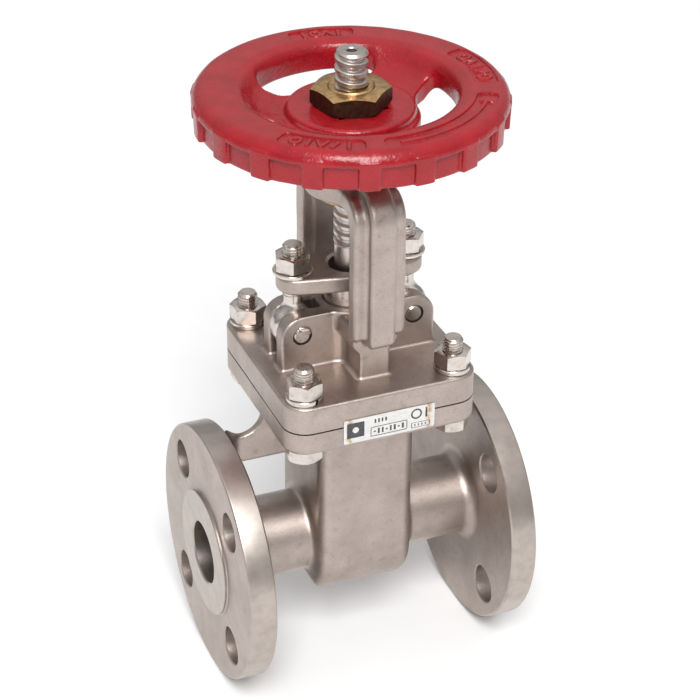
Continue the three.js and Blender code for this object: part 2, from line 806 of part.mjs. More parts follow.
// A window between hub and rim, about +X: its ends are parallel to the spokes on either side.
function windowOutline() {
  const { windows, windowInner, windowOuter, spokeHalfWidth, windowCorner } = WHEEL;
  const halfStep = TURN / windows / 2;
  // The angle from the window's middle at which a spoke's edge is at this radius.
  const edge = (radius) => halfStep - Math.asin(spokeHalfWidth / radius);
  const at = (radius, angle) => [radius * Math.cos(angle), radius * Math.sin(angle)];
  const inner = edge(windowInner);
  const outer = edge(windowOuter);
  const innerTrim = windowCorner / windowInner;
  const outerTrim = windowCorner / windowOuter;
  const low = windowInner + windowCorner * 0.8;
  const high = windowOuter - windowCorner * 0.8;
  const shape = new THREE.Shape();
  shape.moveTo(...at(low, -edge(low)));
  shape.lineTo(...at(high, -edge(high)));
  shape.quadraticCurveTo(...at(windowOuter, -outer), ...at(windowOuter, outerTrim - outer));
  shape.absarc(0, 0, windowOuter, outerTrim - outer, outer - outerTrim);
  shape.quadraticCurveTo(...at(windowOuter, outer), ...at(high, edge(high)));
  shape.lineTo(...at(low, edge(low)));
  shape.quadraticCurveTo(...at(windowInner, inner), ...at(windowInner, inner - innerTrim));
  shape.absarc(0, 0, windowInner, inner - innerTrim, innerTrim - inner, true);
  shape.quadraticCurveTo(...at(windowInner, -inner), ...at(low, -edge(low)));
  return shape;
}

// The skirt's ring of grip lugs, as an outline in X and Y.
function lugOutline() {
  const { lugs, lugHalfAngle, firstLugAngle, lugRadius, skirtRadius } = WHEEL;
  const points = [];
  for (let i = 0; i < lugs; i += 1) {
    const centre = firstLugAngle + (i * 360) / lugs;
    for (const [offset, radius] of [
      [-lugHalfAngle - 1, skirtRadius],
      [-lugHalfAngle, lugRadius],
      [lugHalfAngle, lugRadius],
      [lugHalfAngle + 1, skirtRadius],
    ]) {
      const angle = THREE.MathUtils.degToRad(centre + offset);
      points.push([radius * Math.cos(angle), radius * Math.sin(angle)]);
    }
  }
  return outlineOf(points);
}

// Hub, web and hollow rim of the wheel, before its windows are cut.
function wheelSection() {
  const { hubBottom, hubRadius, hubTop, discRadius, rimTop, rimRadius } = WHEEL;
  const { windowOuter, skirtBottom, skirtRadius, lugTop } = WHEEL;
  const { spokeBottom, spokeTop, rimWallBottom, hollowTop } = WHEEL;
  return [
    [0, hubBottom],
    [hubRadius - 1, hubBottom],
    [hubRadius, hubBottom + 1],
    [hubRadius, spokeBottom - 2],
    [hubRadius + 4, spokeBottom],
    [windowOuter - 4, spokeBottom + 1.5],
    [windowOuter, rimWallBottom],
    [windowOuter + 3, rimWallBottom + 0.5],
    [windowOuter + 5, hollowTop],
    [skirtRadius - 5, hollowTop],
    [skirtRadius - 3, skirtBottom],
    [skirtRadius, skirtBottom],
    [skirtRadius, lugTop],
    [rimRadius, lugTop + 1.2],
    [rimRadius, rimTop - 2.2],
    [rimRadius - 2.2, rimTop - 0.3],
    [rimRadius - 5, rimTop],
    [windowOuter + 5, rimTop],
    [windowOuter + 1.5, rimTop - 0.9],
    [windowOuter - 0.5, rimTop - 3.2],
    [windowOuter - 2.5, spokeTop + 5],
    [windowOuter - 5, spokeTop + 3.3],
    [discRadius + 1, spokeTop],
    [discRadius, spokeTop + 0.8],
    [discRadius - 1, hubTop],
    [0, hubTop],
  ];
}

function makeHandwheel() {
  const { windows, firstWindowAngle, squareHalf, squareAngle, hubBottom, hubTop, rimTop } = WHEEL;
  const { skirtBottom, skirtRadius, lugRoot, lugTop } = WHEEL;
  const inside = cylinder(skirtRadius - lugRoot, skirtBottom - OVER, lugTop + OVER, FINE);
  const lugs = cut(upright(lugOutline(), skirtBottom, lugTop), inside);
  const blank = union(turned(wheelSection(), WHEEL.lugs * 2), lugs);
  const openings = [];
  for (let i = 0; i < windows; i += 1) {
    const angle = firstWindowAngle + (i * 360) / windows;
    openings.push(upright(windowOutline(), hubBottom, rimTop + OVER).rotate([0, 0, angle]));
  }
  const hole = box(-squareHalf, squareHalf, -squareHalf, squareHalf, hubBottom - OVER, hubTop + OVER);
  const wheel = cut(blank, hole.rotate([0, 0, squareAngle]), ...openings);
  add('handwheel', wheel, RED_PAINT);
}

function makeWheelNut() {
  const { acrossFlats, bore, seat, top, turn } = WHEEL_NUT;
  const blank = hexagon(acrossFlats, seat, top, false, true);
  add('handwheel_nut', cut(blank, cylinder(bore, seat - OVER, top + OVER)).rotate([0, 0, turn]), BRASS);
}

// ---------------------------------------------------------------- name plate

function makeNamePlate() {
  const { left, right, bottom, top, thickness } = PLATE;
  const plate = box(left, right, -JOINT.half - thickness, -JOINT.half, bottom, top);
  add('nameplate', plate, PLATE_METAL);
}

makeBody();
makeSeats();
makeWedge();
makeStem();
makeBonnet();
makeGasket();
makeBackSeatBush();
makePacking();
makeGland();
makeGlandFlange();
makeGlandFasteners();
makeBonnetFasteners();
makeYokeNut();
makeHandwheel();
makeWheelNut();
makeNamePlate();

export default valve;
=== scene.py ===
"""The looks of a flanged gate valve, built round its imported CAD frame.

Castings are signed distance fields, turned into meshes and then machined with booleans.
Turned parts are revolved outlines, and threads are true helices. Sizes are in millimetres.
"""

import math

import bmesh
import bpy
import numpy as np
import openvdb
from mathutils import Matrix, Vector


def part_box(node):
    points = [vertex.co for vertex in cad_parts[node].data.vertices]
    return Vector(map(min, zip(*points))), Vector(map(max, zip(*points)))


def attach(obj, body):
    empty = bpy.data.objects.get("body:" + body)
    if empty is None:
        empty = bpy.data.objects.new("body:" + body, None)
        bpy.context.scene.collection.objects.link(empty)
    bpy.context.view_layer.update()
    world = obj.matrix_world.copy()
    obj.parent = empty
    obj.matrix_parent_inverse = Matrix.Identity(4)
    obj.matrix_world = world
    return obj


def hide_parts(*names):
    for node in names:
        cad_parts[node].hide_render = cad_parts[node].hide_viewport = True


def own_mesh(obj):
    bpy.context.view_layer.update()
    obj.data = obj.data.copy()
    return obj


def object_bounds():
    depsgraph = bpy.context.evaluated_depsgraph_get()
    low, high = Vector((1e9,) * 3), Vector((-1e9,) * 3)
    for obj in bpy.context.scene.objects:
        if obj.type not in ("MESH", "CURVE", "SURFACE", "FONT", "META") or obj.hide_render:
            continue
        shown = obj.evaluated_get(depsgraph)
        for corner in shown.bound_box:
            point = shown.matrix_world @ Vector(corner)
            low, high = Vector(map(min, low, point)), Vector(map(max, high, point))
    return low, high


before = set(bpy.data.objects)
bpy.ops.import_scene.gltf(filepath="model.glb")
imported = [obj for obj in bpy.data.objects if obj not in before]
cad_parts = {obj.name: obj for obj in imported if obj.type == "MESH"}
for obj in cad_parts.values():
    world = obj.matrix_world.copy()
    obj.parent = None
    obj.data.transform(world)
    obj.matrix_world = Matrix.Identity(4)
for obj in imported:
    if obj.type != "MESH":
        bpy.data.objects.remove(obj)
cad_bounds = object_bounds()

MM = 0.001


def span(node):
    """The CAD node's lowest and highest corners, in millimetres."""
    low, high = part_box(node)
    return np.array(low) / MM, np.array(high) / MM


def heights(node):
    """The CAD node's bottom and top, in millimetres."""
    low, high = span(node)
    return low[2], high[2]


# ---- sizes from the frame

BODY_HIGH = span("body")[1]
BONNET_HIGH = span("bonnet")[1]
WHEEL_LOW, WHEEL_HIGH = span("handwheel")
FLANGE_FACE = BODY_HIGH[0]
FLANGE_RADIUS = BODY_HIGH[1]
BODY_TOP = heights("bonnet_gasket")[0] + 0.1
BONNET_BOTTOM = heights("bonnet_gasket")[1] - 0.1
COVER_HALF = BONNET_HIGH[0]
COVER_TOP = heights("spring_washer_1")[0]
BODY_FLANGE_BOTTOM = 64.5
RAISED_FACE_RADIUS = 26.3
RAISED_FACE_HEIGHT = 1.5
FLANGE_BACK = FLANGE_FACE - RAISED_FACE_HEIGHT - 11.1
BORE_RADIUS = 13.0
PIPE_HOLE_RADIUS = 8.0
PIPE_HOLE_OFFSET = 39.8 / math.sqrt(2)
COVER_CORNER = 9.5
BOLT_OFFSET = 31.2
JOINT_HOLE_RADIUS = 4.5
NECK_RADIUS = 16.9
NECK_RISE = 1.3
CHAMBER_HALVES = (20.8, 22)
CAVITY_HALVES = (14, 18)
SEAT_DEPTH = 19
BOX_RADIUS = 13.7
BOX_TOP = 108
BOSS_BOTTOM = 156.5
BOSS_BORE = 12
EYE_X = 23.7
EYE_Z = 100
GLAND_BOTTOM, GLAND_TOP = heights("gland_flange")
M8_FLATS = 13
M8_PITCH = 1.25
# A size beyond the valve's own, for tools that only cut on one side.
FAR = 90


# ---- distance fields

def box2(u, v, half_u, half_v, radius):
    """Distance to a rectangle about the origin of two coordinates, with rounded corners."""
    a = np.abs(u) - (half_u - radius)
    b = np.abs(v) - (half_v - radius)
    outside = np.hypot(np.maximum(a, 0), np.maximum(b, 0))
    return outside + np.minimum(np.maximum(a, b), 0) - radius


def fuse(a, b, radius):
    """The union of two fields, with a fillet in the corner between them."""
    inner = np.hypot(np.maximum(radius - a, 0), np.maximum(radius - b, 0))
    return np.maximum(radius, np.minimum(a, b)) - inner


def meet(a, b, radius):
    """The overlap of two fields, with its edges rounded."""
    return -fuse(-a, -b, radius)


def cut(a, b, radius):
    """Field a less field b, with the new edges rounded."""
    return -fuse(-a, b, radius)


def between(value, low, high):
    """Distance to the slab from low to high along one coordinate."""
    return np.abs(value - (low + high) / 2) - (high - low) / 2


class Grid:
    """A regular grid of points round a box, in millimetres."""

    def __init__(self, low, high, step):
        self.step = step
        self.low = np.array(low, float) - 3 * step
        self.counts = np.ceil((np.array(high) - self.low) / step).astype(int) + 4
        axes = [(start + step * np.arange(n)).astype(np.float32) for start, n in zip(self.low, self.counts)]
        self.x, self.y, self.z = np.ix_(*axes)

    def surface(self, name, field):
        """A mesh object on the field's zero surface."""
        full = np.ascontiguousarray(np.broadcast_to(field, self.counts), dtype=np.float32)
        band = 3 * self.step
        grid = openvdb.FloatGrid(band)
        grid.copyFromArray(np.clip(full, -band, band))
        points, quads = grid.convertToQuads(0.0)
        points = (points * self.step + self.low) * MM
        mesh = bpy.data.meshes.new(name)
        mesh.from_pydata(points.tolist(), [], quads.tolist())
        mesh.update()
        return linked(name, mesh)


def linked(name, data):
    """A new object in the scene."""
    made = bpy.data.objects.new(name, data)
    bpy.context.scene.collection.objects.link(made)
    return made


# ---- turned and extruded solids

def polar(r, angle, z):
    return (r * math.cos(angle) * MM, r * math.sin(angle) * MM, z * MM)


def arc(centre_r, centre_z, radius, start, end, steps):
    """Points of an arc in a (radius, height) outline. Angles are in degrees."""
    angles = np.radians(np.linspace(start, end, steps + 1))
    return [(centre_r + radius * math.cos(a), centre_z + radius * math.sin(a)) for a in angles]


def mirrored(half, middle=0):
    """A whole outline from its upper half, which is listed from the middle up."""
    return [(r, 2 * middle - z) for r, z in reversed(half)] + half


def lathe(name, outline, segments=96):
    """A closed solid turned about Z. The outline is (radius, height), counterclockwise."""
    whole = bmesh.new()
    columns = []
    for i in range(segments):
        angle = 2 * math.pi * i / segments
        column = []
        for k, (r, z) in enumerate(outline):
            shared = i > 0 and r < 1e-6
            column.append(columns[0][k] if shared else whole.verts.new(polar(r, angle, z)))
        columns.append(column)
    count = len(outline)
    # An outline that starts and ends on the axis needs no faces between its two ends.
    sides = count if outline[0][0] > 1e-6 or outline[-1][0] > 1e-6 else count - 1
    for i in range(segments):
        here, after = columns[i], columns[(i + 1) % segments]
        for k in range(sides):
            m = (k + 1) % count
            corners = [here[k], after[k], after[m], here[m]]
            distinct = [v for n, v in enumerate(corners) if v not in corners[:n]]
            if len(distinct) > 2:
                whole.faces.new(distinct)
    return from_bmesh(name, whole)


def from_bmesh(name, whole):
    """A linked object from a bmesh, with its faces turned outwards."""
    bmesh.ops.recalc_face_normals(whole, faces=whole.faces)
    if whole.calc_volume(signed=True) < 0:
        bmesh.ops.reverse_faces(whole, faces=whole.faces)
    mesh = bpy.data.meshes.new(name)
    whole.to_mesh(mesh)
    whole.free()
    return linked(name, mesh)


def cylinder(name, radius, bottom, top, segments=64):
    return lathe(name, [(0, bottom), (radius, bottom), (radius, top), (0, top)], segments)


def prism(name, corners, bottom, top):
    """An outline in X and Y, counterclockwise, drawn up from one height to another."""
    whole = bmesh.new()
    low, high = ([whole.verts.new((x * MM, y * MM, z * MM)) for x, y in corners] for z in (bottom, top))
    whole.faces.new(list(reversed(low)))
    whole.faces.new(high)
    for i in range(len(corners)):
        k = (i + 1) % len(corners)
        whole.faces.new([low[i], low[k], high[k], high[i]])
    return from_bmesh(name, whole)


def rectangle(half_x, half_y, corner, steps):
    """The outline of a rectangle with round corners, about the origin."""
    points = []
    for sign_x, sign_y, start in ((1, -1, -90), (1, 1, 0), (-1, 1, 90), (-1, -1, 180)):
        centre = (sign_x * (half_x - corner), sign_y * (half_y - corner))
        points += arc(*centre, corner, start, start + 90, steps)
    return points


def block(name, low, high):
    """A box between two corners."""
    corners = [(low[0], low[1]), (high[0], low[1]), (high[0], high[1]), (low[0], high[1])]
    return prism(name, corners, low[2], high[2])


def settle(made, matrix):
    """Applies a matrix, in metres, to the object's mesh, and leaves its origin at zero."""
    made.data.transform(matrix)
    if matrix.to_3x3().determinant() < 0:
        made.data.flip_normals()
    made.data.update()
    return made


def shift(made, x, y, z):
    return settle(made, Matrix.Translation((x * MM, y * MM, z * MM)))


def turn(made, degrees, axis="Z"):
    return settle(made, Matrix.Rotation(math.radians(degrees), 4, axis))


def boolean(made, tool, how):
    """One boolean, applied at once. The tool is used up."""
    step = made.modifiers.new("boolean", "BOOLEAN")
    step.object = tool
    step.operation = how
    step.solver = "MANIFOLD"
    apply_modifiers(made)
    remove(tool)
    return made


def apply_modifiers(made):
    graph = bpy.context.evaluated_depsgraph_get()
    finished = bpy.data.meshes.new_from_object(made.evaluated_get(graph))
    old = made.data
    made.modifiers.clear()
    made.data = finished
    finished.name = made.name
    bpy.data.meshes.remove(old)


def remove(made):
    mesh = made.data
    bpy.data.objects.remove(made)
    bpy.data.meshes.remove(mesh)


def cut_out(made, *tools):
    for tool in tools:
        boolean(made, tool, "DIFFERENCE")
    return made


def keep_in(made, tool):
    return boolean(made, tool, "INTERSECT")


def join_on(made, *others):
    for other in others:
        boolean(made, other, "UNION")
    return made


# ---- screw threads

RIGHT_HAND, LEFT_HAND = 1, -1
VEE = ((0.0, 0.0), (0.125, 0.0), (0.4375, 1.0), (0.5625, 1.0), (0.875, 0.0))


def threaded_rod(name, root, crest, pitch, bottom, top, hand, shape, segments):
    """A rod with a helical thread. The shape is the thread's profile over one pitch, as
    fractions of the pitch and of the depth."""
    turns = int(math.ceil((top - bottom) / pitch)) + 3
    start = bottom - 2 * pitch
    whole = bmesh.new()
    columns = []
    for i in range(segments):
        angle = 2 * math.pi * i / segments
        lead = start + hand * pitch * i / segments
        columns.append([
            whole.verts.new(polar(root + height * (crest - root), angle, lead + (n + along) * pitch))
            for n in range(-2, turns + 2) for along, height in shape
        ])
    length = len(columns[0])
    for i in range(segments):
        here, after = columns[i], columns[(i + 1) % segments]
        # The last column meets the first one a whole turn further along the thread.
        offset = hand * len(shape) if i == segments - 1 else 0
        for k in range(length - 1):
            m = k + offset
            if 0 <= m < length - 1:
                whole.faces.new([here[k], after[m], after[m + 1], here[k + 1]])
    bmesh.ops.delete(whole, geom=[v for v in whole.verts if not v.link_faces], context="VERTS")
    seal_ends(whole)
    return from_bmesh(name, whole)


def seal_ends(whole):
    """Closes a tube's two open ends with a fan of faces each."""
    edges = [e for e in whole.edges if e.is_boundary]
    while edges:
        loop = []
        step = edges[0]
        corners = [step.verts[0]]
        while step:
            loop.append(step)
            corners.append(step.other_vert(corners[-1]))
            step = next((e for e in corners[-1].link_edges if e.is_boundary and e not in loop), None)
        height = sum(v.co.z for v in corners) / len(corners)
        hub = whole.verts.new((0, 0, height))
        for edge in loop:
            whole.faces.new([edge.verts[0], edge.verts[1], hub])
        edges = [e for e in edges if e not in loop]


# ---- materials

class Look:
    """One procedural material, built node by node on the piece's own coordinates."""

    def __init__(self, name, colour, metallic, roughness):
        self.material = bpy.data.materials.new(name)
        self.material.use_nodes = True
        self.tree = self.material.node_tree
        self.shader = self.tree.nodes["Principled BSDF"]
        self.set(Base_Color=(*colour, 1), Metallic=metallic, Roughness=roughness)
        self.place = self.tree.nodes.new("ShaderNodeTexCoord").outputs["Object"]
        self.normal = None

    def set(self, **values):
        for name, value in values.items():
            self.shader.inputs[name.replace("_", " ")].default_value = value

    def link(self, socket, name):
        self.tree.links.new(socket, self.shader.inputs[name])

    def colour(self, socket):
        self.link(socket, "Base Color")

    def rough(self, noise, low, high):
        self.link(self.remap(noise, 0.3, 0.7, low, high), "Roughness")

    def node(self, kind, inputs, **settings):
        """A new node. Each input is a constant, a colour or another node's output."""
        made = self.tree.nodes.new("ShaderNode" + kind)
        for name, value in settings.items():
            setattr(made, name, value)
        for name, value in inputs.items():
            socket = made.inputs[name]
            if isinstance(value, bpy.types.NodeSocket):
                self.tree.links.new(value, socket)
            elif socket.type == "RGBA":
                socket.default_value = (*value, 1)
            else:
                socket.default_value = value
        return made

    def stretched(self, x, y, z):
        """The piece's coordinates, scaled along each axis."""
        return self.node("Mapping", {"Vector": self.place, "Scale": (x, y, z)}).outputs["Vector"]

    def noise(self, size, detail=4, roughness=0.55, place=None):
        """Noise whose features are about the given size, in millimetres."""
        inputs = {"Vector": place or self.place, "Scale": 1 / (size * MM), "Detail": detail,
                  "Roughness": roughness}
        return self.node("TexNoise", inputs).outputs["Fac"]

    def cells(self, size):
        inputs = {"Vector": self.place, "Scale": 1 / (size * MM)}
        return self.node("TexVoronoi", inputs).outputs["Distance"]

    def maths(self, how, a, b=0.0):
        return self.node("Math", {0: a, 1: b}, operation=how).outputs[0]

    def remap(self, value, low, high, new_low=0.0, new_high=1.0):
        inputs = {"Value": value, "From Min": low, "From Max": high, "To Min": new_low, "To Max": new_high}
        return self.node("MapRange", inputs).outputs["Result"]

    def ramp(self, value, *stops):
        """A colour ramp. Each stop is (position, colour)."""
        made = self.node("ValToRGB", {"Fac": value})
        band = made.color_ramp
        while len(band.elements) < len(stops):
            band.elements.new(0.5)
        for element, (position, colour) in zip(band.elements, stops):
            element.position = position
            element.color = (*colour, 1)
        return made.outputs["Color"]

    def blend(self, factor, a, b):
        """Colour a, moving to colour b as the factor rises."""
        return self.node("Mix", {"Factor": factor, 6: a, 7: b}, data_type="RGBA").outputs[2]

    def axes(self):
        """The X, Y and Z of the piece's own coordinates."""
        return self.node("SeparateXYZ", {"Vector": self.place}).outputs

    def upward(self):
        """How far the surface faces up, from -1 to 1."""
        normal = self.node("TexCoord", {}).outputs["Normal"]
        return self.node("SeparateXYZ", {"Vector": normal}).outputs["Z"]

    def creases(self):
        """About 0.5 on a flat or smoothly curved surface, less in a crease and more on an edge."""
        return self.node("NewGeometry", {}).outputs["Pointiness"]

    def shade_and_dirt_in_creases(self, clean, start, full, amount, dirt_and_shade_colour):
        """Dirt and painted shade that fill the creases, from one value of creases() down to another."""
        return self.blend(self.remap(self.creases(), start, full, 0, amount), clean, dirt_and_shade_colour)

    def bump(self, height, depth, strength):
        """Adds relief of the given depth, in millimetres, on top of any before it."""
        inputs = {"Height": height, "Strength": strength, "Distance": depth * MM}
        if self.normal:
            inputs["Normal"] = self.normal
        self.normal = self.node("Bump", inputs).outputs["Normal"]
        self.link(self.normal, "Normal")


def cast_steel():
    """Bead-blasted stainless castings: satin, warm grey, with a fine grain."""
    look = Look("cast_steel", (0.45, 0.385, 0.345), 1.0, 0.4)
    patches = look.noise(14, 3, 0.6)
    stain = look.noise(3.2, 5, 0.65)
    tone = look.ramp(patches, (0.3, (0.385, 0.325, 0.29)), (0.7, (0.485, 0.415, 0.378)))
    stained = look.blend(look.remap(stain, 0.56, 0.78, 0, 0.5), tone, (0.21, 0.165, 0.14))
    grain = look.noise(0.35, 3, 0.6)
    speck = look.remap(grain, 0.5, 0.72, 0, 0.45)
    blasted = look.blend(speck, stained, (0.22, 0.18, 0.155))
    # Darker in the creases: dirt and painted shade.
    dirty_and_shaded = look.shade_and_dirt_in_creases(blasted, 0.47, 0.40, 0.65, (0.15, 0.115, 0.095))
    # Lighter on edges and ridges: worn metal and a painted highlight.
    look.colour(look.blend(look.remap(look.creases(), 0.53, 0.62, 0, 0.5), dirty_and_shaded, (0.66, 0.60, 0.56)))
    look.rough(grain, 0.34, 0.48)
    look.bump(look.noise(5.5, 2, 0.5), 0.10, 0.5)
    look.bump(look.noise(1.1, 2, 0.5), 0.07, 0.6)
    look.bump(grain, 0.10, 0.9)
    return look.material


def machined_steel(name="machined_steel", about="Z", tone=(0.54, 0.475, 0.435), roughness=0.27):
    """Turned stainless with faint tool marks round one axis."""
    look = Look(name, tone, 1.0, roughness)
    x, y, z = look.axes()
    along, across_a, across_b = (z, x, y) if about == "Z" else (x, y, z)
    radius = look.maths("SQRT", look.maths("ADD", look.maths("MULTIPLY", across_a, across_a),
                                          look.maths("MULTIPLY", across_b, across_b)))
    lines = look.maths("ADD", look.maths("MULTIPLY", along, 1900), look.maths("MULTIPLY", radius, 1900))
    spread = look.node("CombineXYZ", {"X": lines}).outputs[0]
    marks = look.node("TexNoise", {"Vector": spread, "Scale": 2.2, "Detail": 5}).outputs["Fac"]
    darker, dirt_and_shade_colour = ([share * value for value in tone] for share in (0.8, 0.3))
    clean = look.ramp(look.noise(6, 4, 0.6), (0.25, darker), (0.6, tone))
    # Darker in the creases: dirt and painted shade.
    look.colour(look.shade_and_dirt_in_creases(clean, 0.48, 0.38, 0.7, dirt_and_shade_colour))
    look.rough(marks, roughness - 0.07, roughness + 0.09)
    look.bump(marks, 0.02, 0.5)
    look.bump(look.noise(2.5, 3, 0.6), 0.02, 0.4)
    return look.material


def fastener_steel():
    """Forged and rolled stainless, a little stained."""
    look = Look("fastener_steel", (0.62, 0.55, 0.5), 1.0, 0.22)
    stain = look.noise(3.2, 5, 0.65)
    tone = look.ramp(stain, (0.25, (0.40, 0.345, 0.305)), (0.45, (0.58, 0.525, 0.485)),
                     (0.75, (0.67, 0.625, 0.59)))
    # Darker in the creases and thread roots: dirt and painted shade.
    look.colour(look.shade_and_dirt_in_creases(tone, 0.48, 0.38, 0.85, (0.10, 0.08, 0.068)))
    grain = look.noise(0.5, 4, 0.6)
    look.rough(grain, 0.16, 0.28)
    look.bump(look.noise(2.4, 2, 0.5), 0.03, 0.4)
    look.bump(grain, 0.006, 0.5)
    return look.material


def bronze():
    look = Look("bronze", (0.62, 0.40, 0.19), 1.0, 0.33)
    look.colour(look.ramp(look.noise(2.4, 5, 0.6), (0.3, (0.35, 0.20, 0.09)), (0.6, (0.66, 0.44, 0.21))))
    look.rough(look.noise(0.8, 4, 0.6), 0.26, 0.44)
    look.bump(look.noise(0.6, 3, 0.6), 0.02, 0.5)
    return look.material


def brass():
    """Brass painted bright where it faces up and nearly black where it faces sideways: painted light and
    shade.
    """
    look = Look("brass", (0.60, 0.38, 0.17), 1.0, 0.3)
    bright = look.ramp(look.noise(2.6, 5, 0.62), (0.3, (0.36, 0.20, 0.085)), (0.55, (0.60, 0.38, 0.17)),
                       (0.8, (0.72, 0.48, 0.23)))
    painted_shade_tone = look.ramp(look.noise(1.8, 4, 0.6), (0.3, (0.04, 0.022, 0.014)), (0.7, (0.10, 0.058, 0.035)))
    # worn measures how far each face points up. The blend below paints light on the top and shade on the
    # sides, and the same measure sets the roughness.
    worn = look.maths("ADD", look.upward(), look.remap(look.noise(1.2, 4, 0.6), 0.3, 0.7, -0.12, 0.12))
    look.colour(look.blend(look.remap(worn, 0.2, 0.42), painted_shade_tone, bright))
    look.link(look.remap(worn, 0.2, 0.8, 0.5, 0.3), "Roughness")
    look.bump(look.noise(0.7, 3, 0.6), 0.02, 0.5)
    return look.material


def red_paint():
    """Thick gloss paint with an orange-peel skin."""
    look = Look("red_paint", (0.42, 0.02, 0.03), 0.0, 0.3)
    tone = look.ramp(look.noise(9, 4, 0.6), (0.3, (0.235, 0.004, 0.008)), (0.7, (0.32, 0.007, 0.013)))
    # Darker in the creases and sunk pads: dirt and painted shade.
    look.colour(look.shade_and_dirt_in_creases(tone, 0.48, 0.41, 0.8, (0.09, 0.003, 0.005)))
    look.rough(look.noise(1.5, 4, 0.6), 0.2, 0.34)
    look.set(Coat_Weight=0.22, Coat_Roughness=0.1, Specular_IOR_Level=0.32)
    look.bump(look.noise(3.4, 2, 0.5), 0.28, 0.75)
    look.bump(look.noise(1.0, 2, 0.5), 0.22, 0.95)
    return look.material


def graphite():
    look = Look("graphite", (0.03, 0.03, 0.031), 0.1, 0.6)
    tone = look.ramp(look.noise(1.0, 5, 0.6), (0.3, (0.015, 0.015, 0.016)), (0.7, (0.06, 0.058, 0.055)))
    look.colour(tone)
    look.bump(look.cells(0.7), 0.08, 0.5)
    look.rough(look.noise(0.6, 3), 0.45, 0.75)
    return look.material


def plate_metal():
    """A bright rolled plate, brown where it is spot welded at each end."""
    look = Look("plate_metal", (0.75, 0.74, 0.71), 1.0, 0.3)
    brushed = look.noise(0.5, 4, 0.6, look.stretched(0.15, 1, 1))
    bright = look.ramp(brushed, (0.3, (0.62, 0.61, 0.595)), (0.7, (0.78, 0.77, 0.755)))
    x = look.axes()[0]
    left, right = (span("nameplate")[0][0] + 2.6) * MM, (span("nameplate")[1][0] - 2.6) * MM
    nearest = look.maths("MINIMUM", look.maths("ABSOLUTE", look.maths("SUBTRACT", x, left)),
                         look.maths("ABSOLUTE", look.maths("SUBTRACT", x, right)))
    ragged = look.maths("ADD", nearest, look.remap(look.noise(1.6, 4), 0.3, 0.7, -0.0003, 0.0016))
    tint = look.ramp(look.remap(ragged, 0.0, 0.0032), (0.0, (0.42, 0.29, 0.18)),
                     (0.35, (0.58, 0.46, 0.33)), (1.0, (0.75, 0.74, 0.71)))
    look.colour(look.blend(look.remap(ragged, 0.0008, 0.0026), tint, bright))
    look.rough(brushed, 0.24, 0.36)
    look.bump(look.noise(4.5, 2), 0.08, 0.5)
    return look.material


def print_ink():
    """Dark printing on the plate, a little worn."""
    look = Look("print_ink", (0.03, 0.03, 0.035), 0.0, 0.45)
    look.colour(look.ramp(look.noise(0.7, 4), (0.3, (0.02, 0.02, 0.024)), (0.8, (0.08, 0.08, 0.085))))
    look.rough(look.noise(0.5, 3), 0.35, 0.6)
    return look.material


MATERIALS = {
    "cast_steel": cast_steel(),
    "machined_steel": machined_steel(),
    "flange_steel": machined_steel("flange_steel", "X", (0.48, 0.42, 0.38), 0.34),
    "stem_steel": machined_steel("stem_steel", "Z", (0.58, 0.53, 0.495), 0.33),
    "fastener_steel": fastener_steel(),
    "bronze": bronze(),
    "brass": brass(),
    "red_paint": red_paint(),
    "graphite": graphite(),
    "plate_metal": plate_metal(),
    "print_ink": print_ink(),
}


def finish_faces(made, first, second, test):
    """Gives the faces that pass the test a second material. The test reads centres, in
    millimetres, and normals."""
    mesh = made.data
    centres, normals = np.empty((2, len(mesh.polygons) * 3), np.float32)
    mesh.polygons.foreach_get("center", centres)
    mesh.polygons.foreach_get("normal", normals)
    chosen = test(centres.reshape(-1, 3).T / MM, normals.reshape(-1, 3).T)
    mesh.materials.clear()
    mesh.materials.append(MATERIALS[first])
    mesh.materials.append(MATERIALS[second])
    mesh.polygons.foreach_set("material_index", chosen.astype(np.int32))
    return made


def turned_faces(centres, normals):
    """The flanges' rims and raised faces, and the bores through the body."""
    x, y, z = np.abs(centres)
    rho = np.hypot(y, z)
    rim = (rho > FLANGE_RADIUS - 0.95) & (x > FLANGE_BACK)
    face = (x > FLANGE_FACE - RAISED_FACE_HEIGHT + 0.05)
    bore = (rho < 16.3) & (np.abs(normals[0]) < 0.8) & (x > 14.2)
    return rim | face | bore


def dress(made, slot, *nodes, body):
    """Gives a finished piece smooth shading with sharp edges and its material, hides the CAD nodes
    that it stands for, and attaches it to the CAD body."""
    mesh = made.data
    mesh.polygons.foreach_set("use_smooth", [True] * len(mesh.polygons))
    mesh.set_sharp_from_angle(angle=math.radians(32))
    if not any(mesh.materials):
        mesh.materials.clear()
        mesh.materials.append(MATERIALS[slot])
    if nodes:
        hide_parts(*nodes)
    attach(made, body)
    return made


# ---- casting shapes

def uneven(grid, depth, size, seed):
    """A gentle unevenness of a sand-cast skin, as an offset to a field."""
    random = np.random.default_rng(seed)
    total = np.zeros(1, np.float32)
    for _ in range(5):
        direction = random.normal(size=3)
        direction *= 2 * math.pi / (size * random.uniform(0.7, 1.5) * np.linalg.norm(direction))
        phase = random.uniform(0, 2 * math.pi)
        wave = direction[0] * grid.x + direction[1] * grid.y + direction[2] * grid.z + phase
        total = total + np.sin(wave, dtype=np.float32)
    return total * (depth / 3)


def corner_top(u, v, half, top, radius):
    """Distance to the area under a flat top with two round corners, about u = 0."""
    return meet(np.abs(u) - half, v - top, radius)


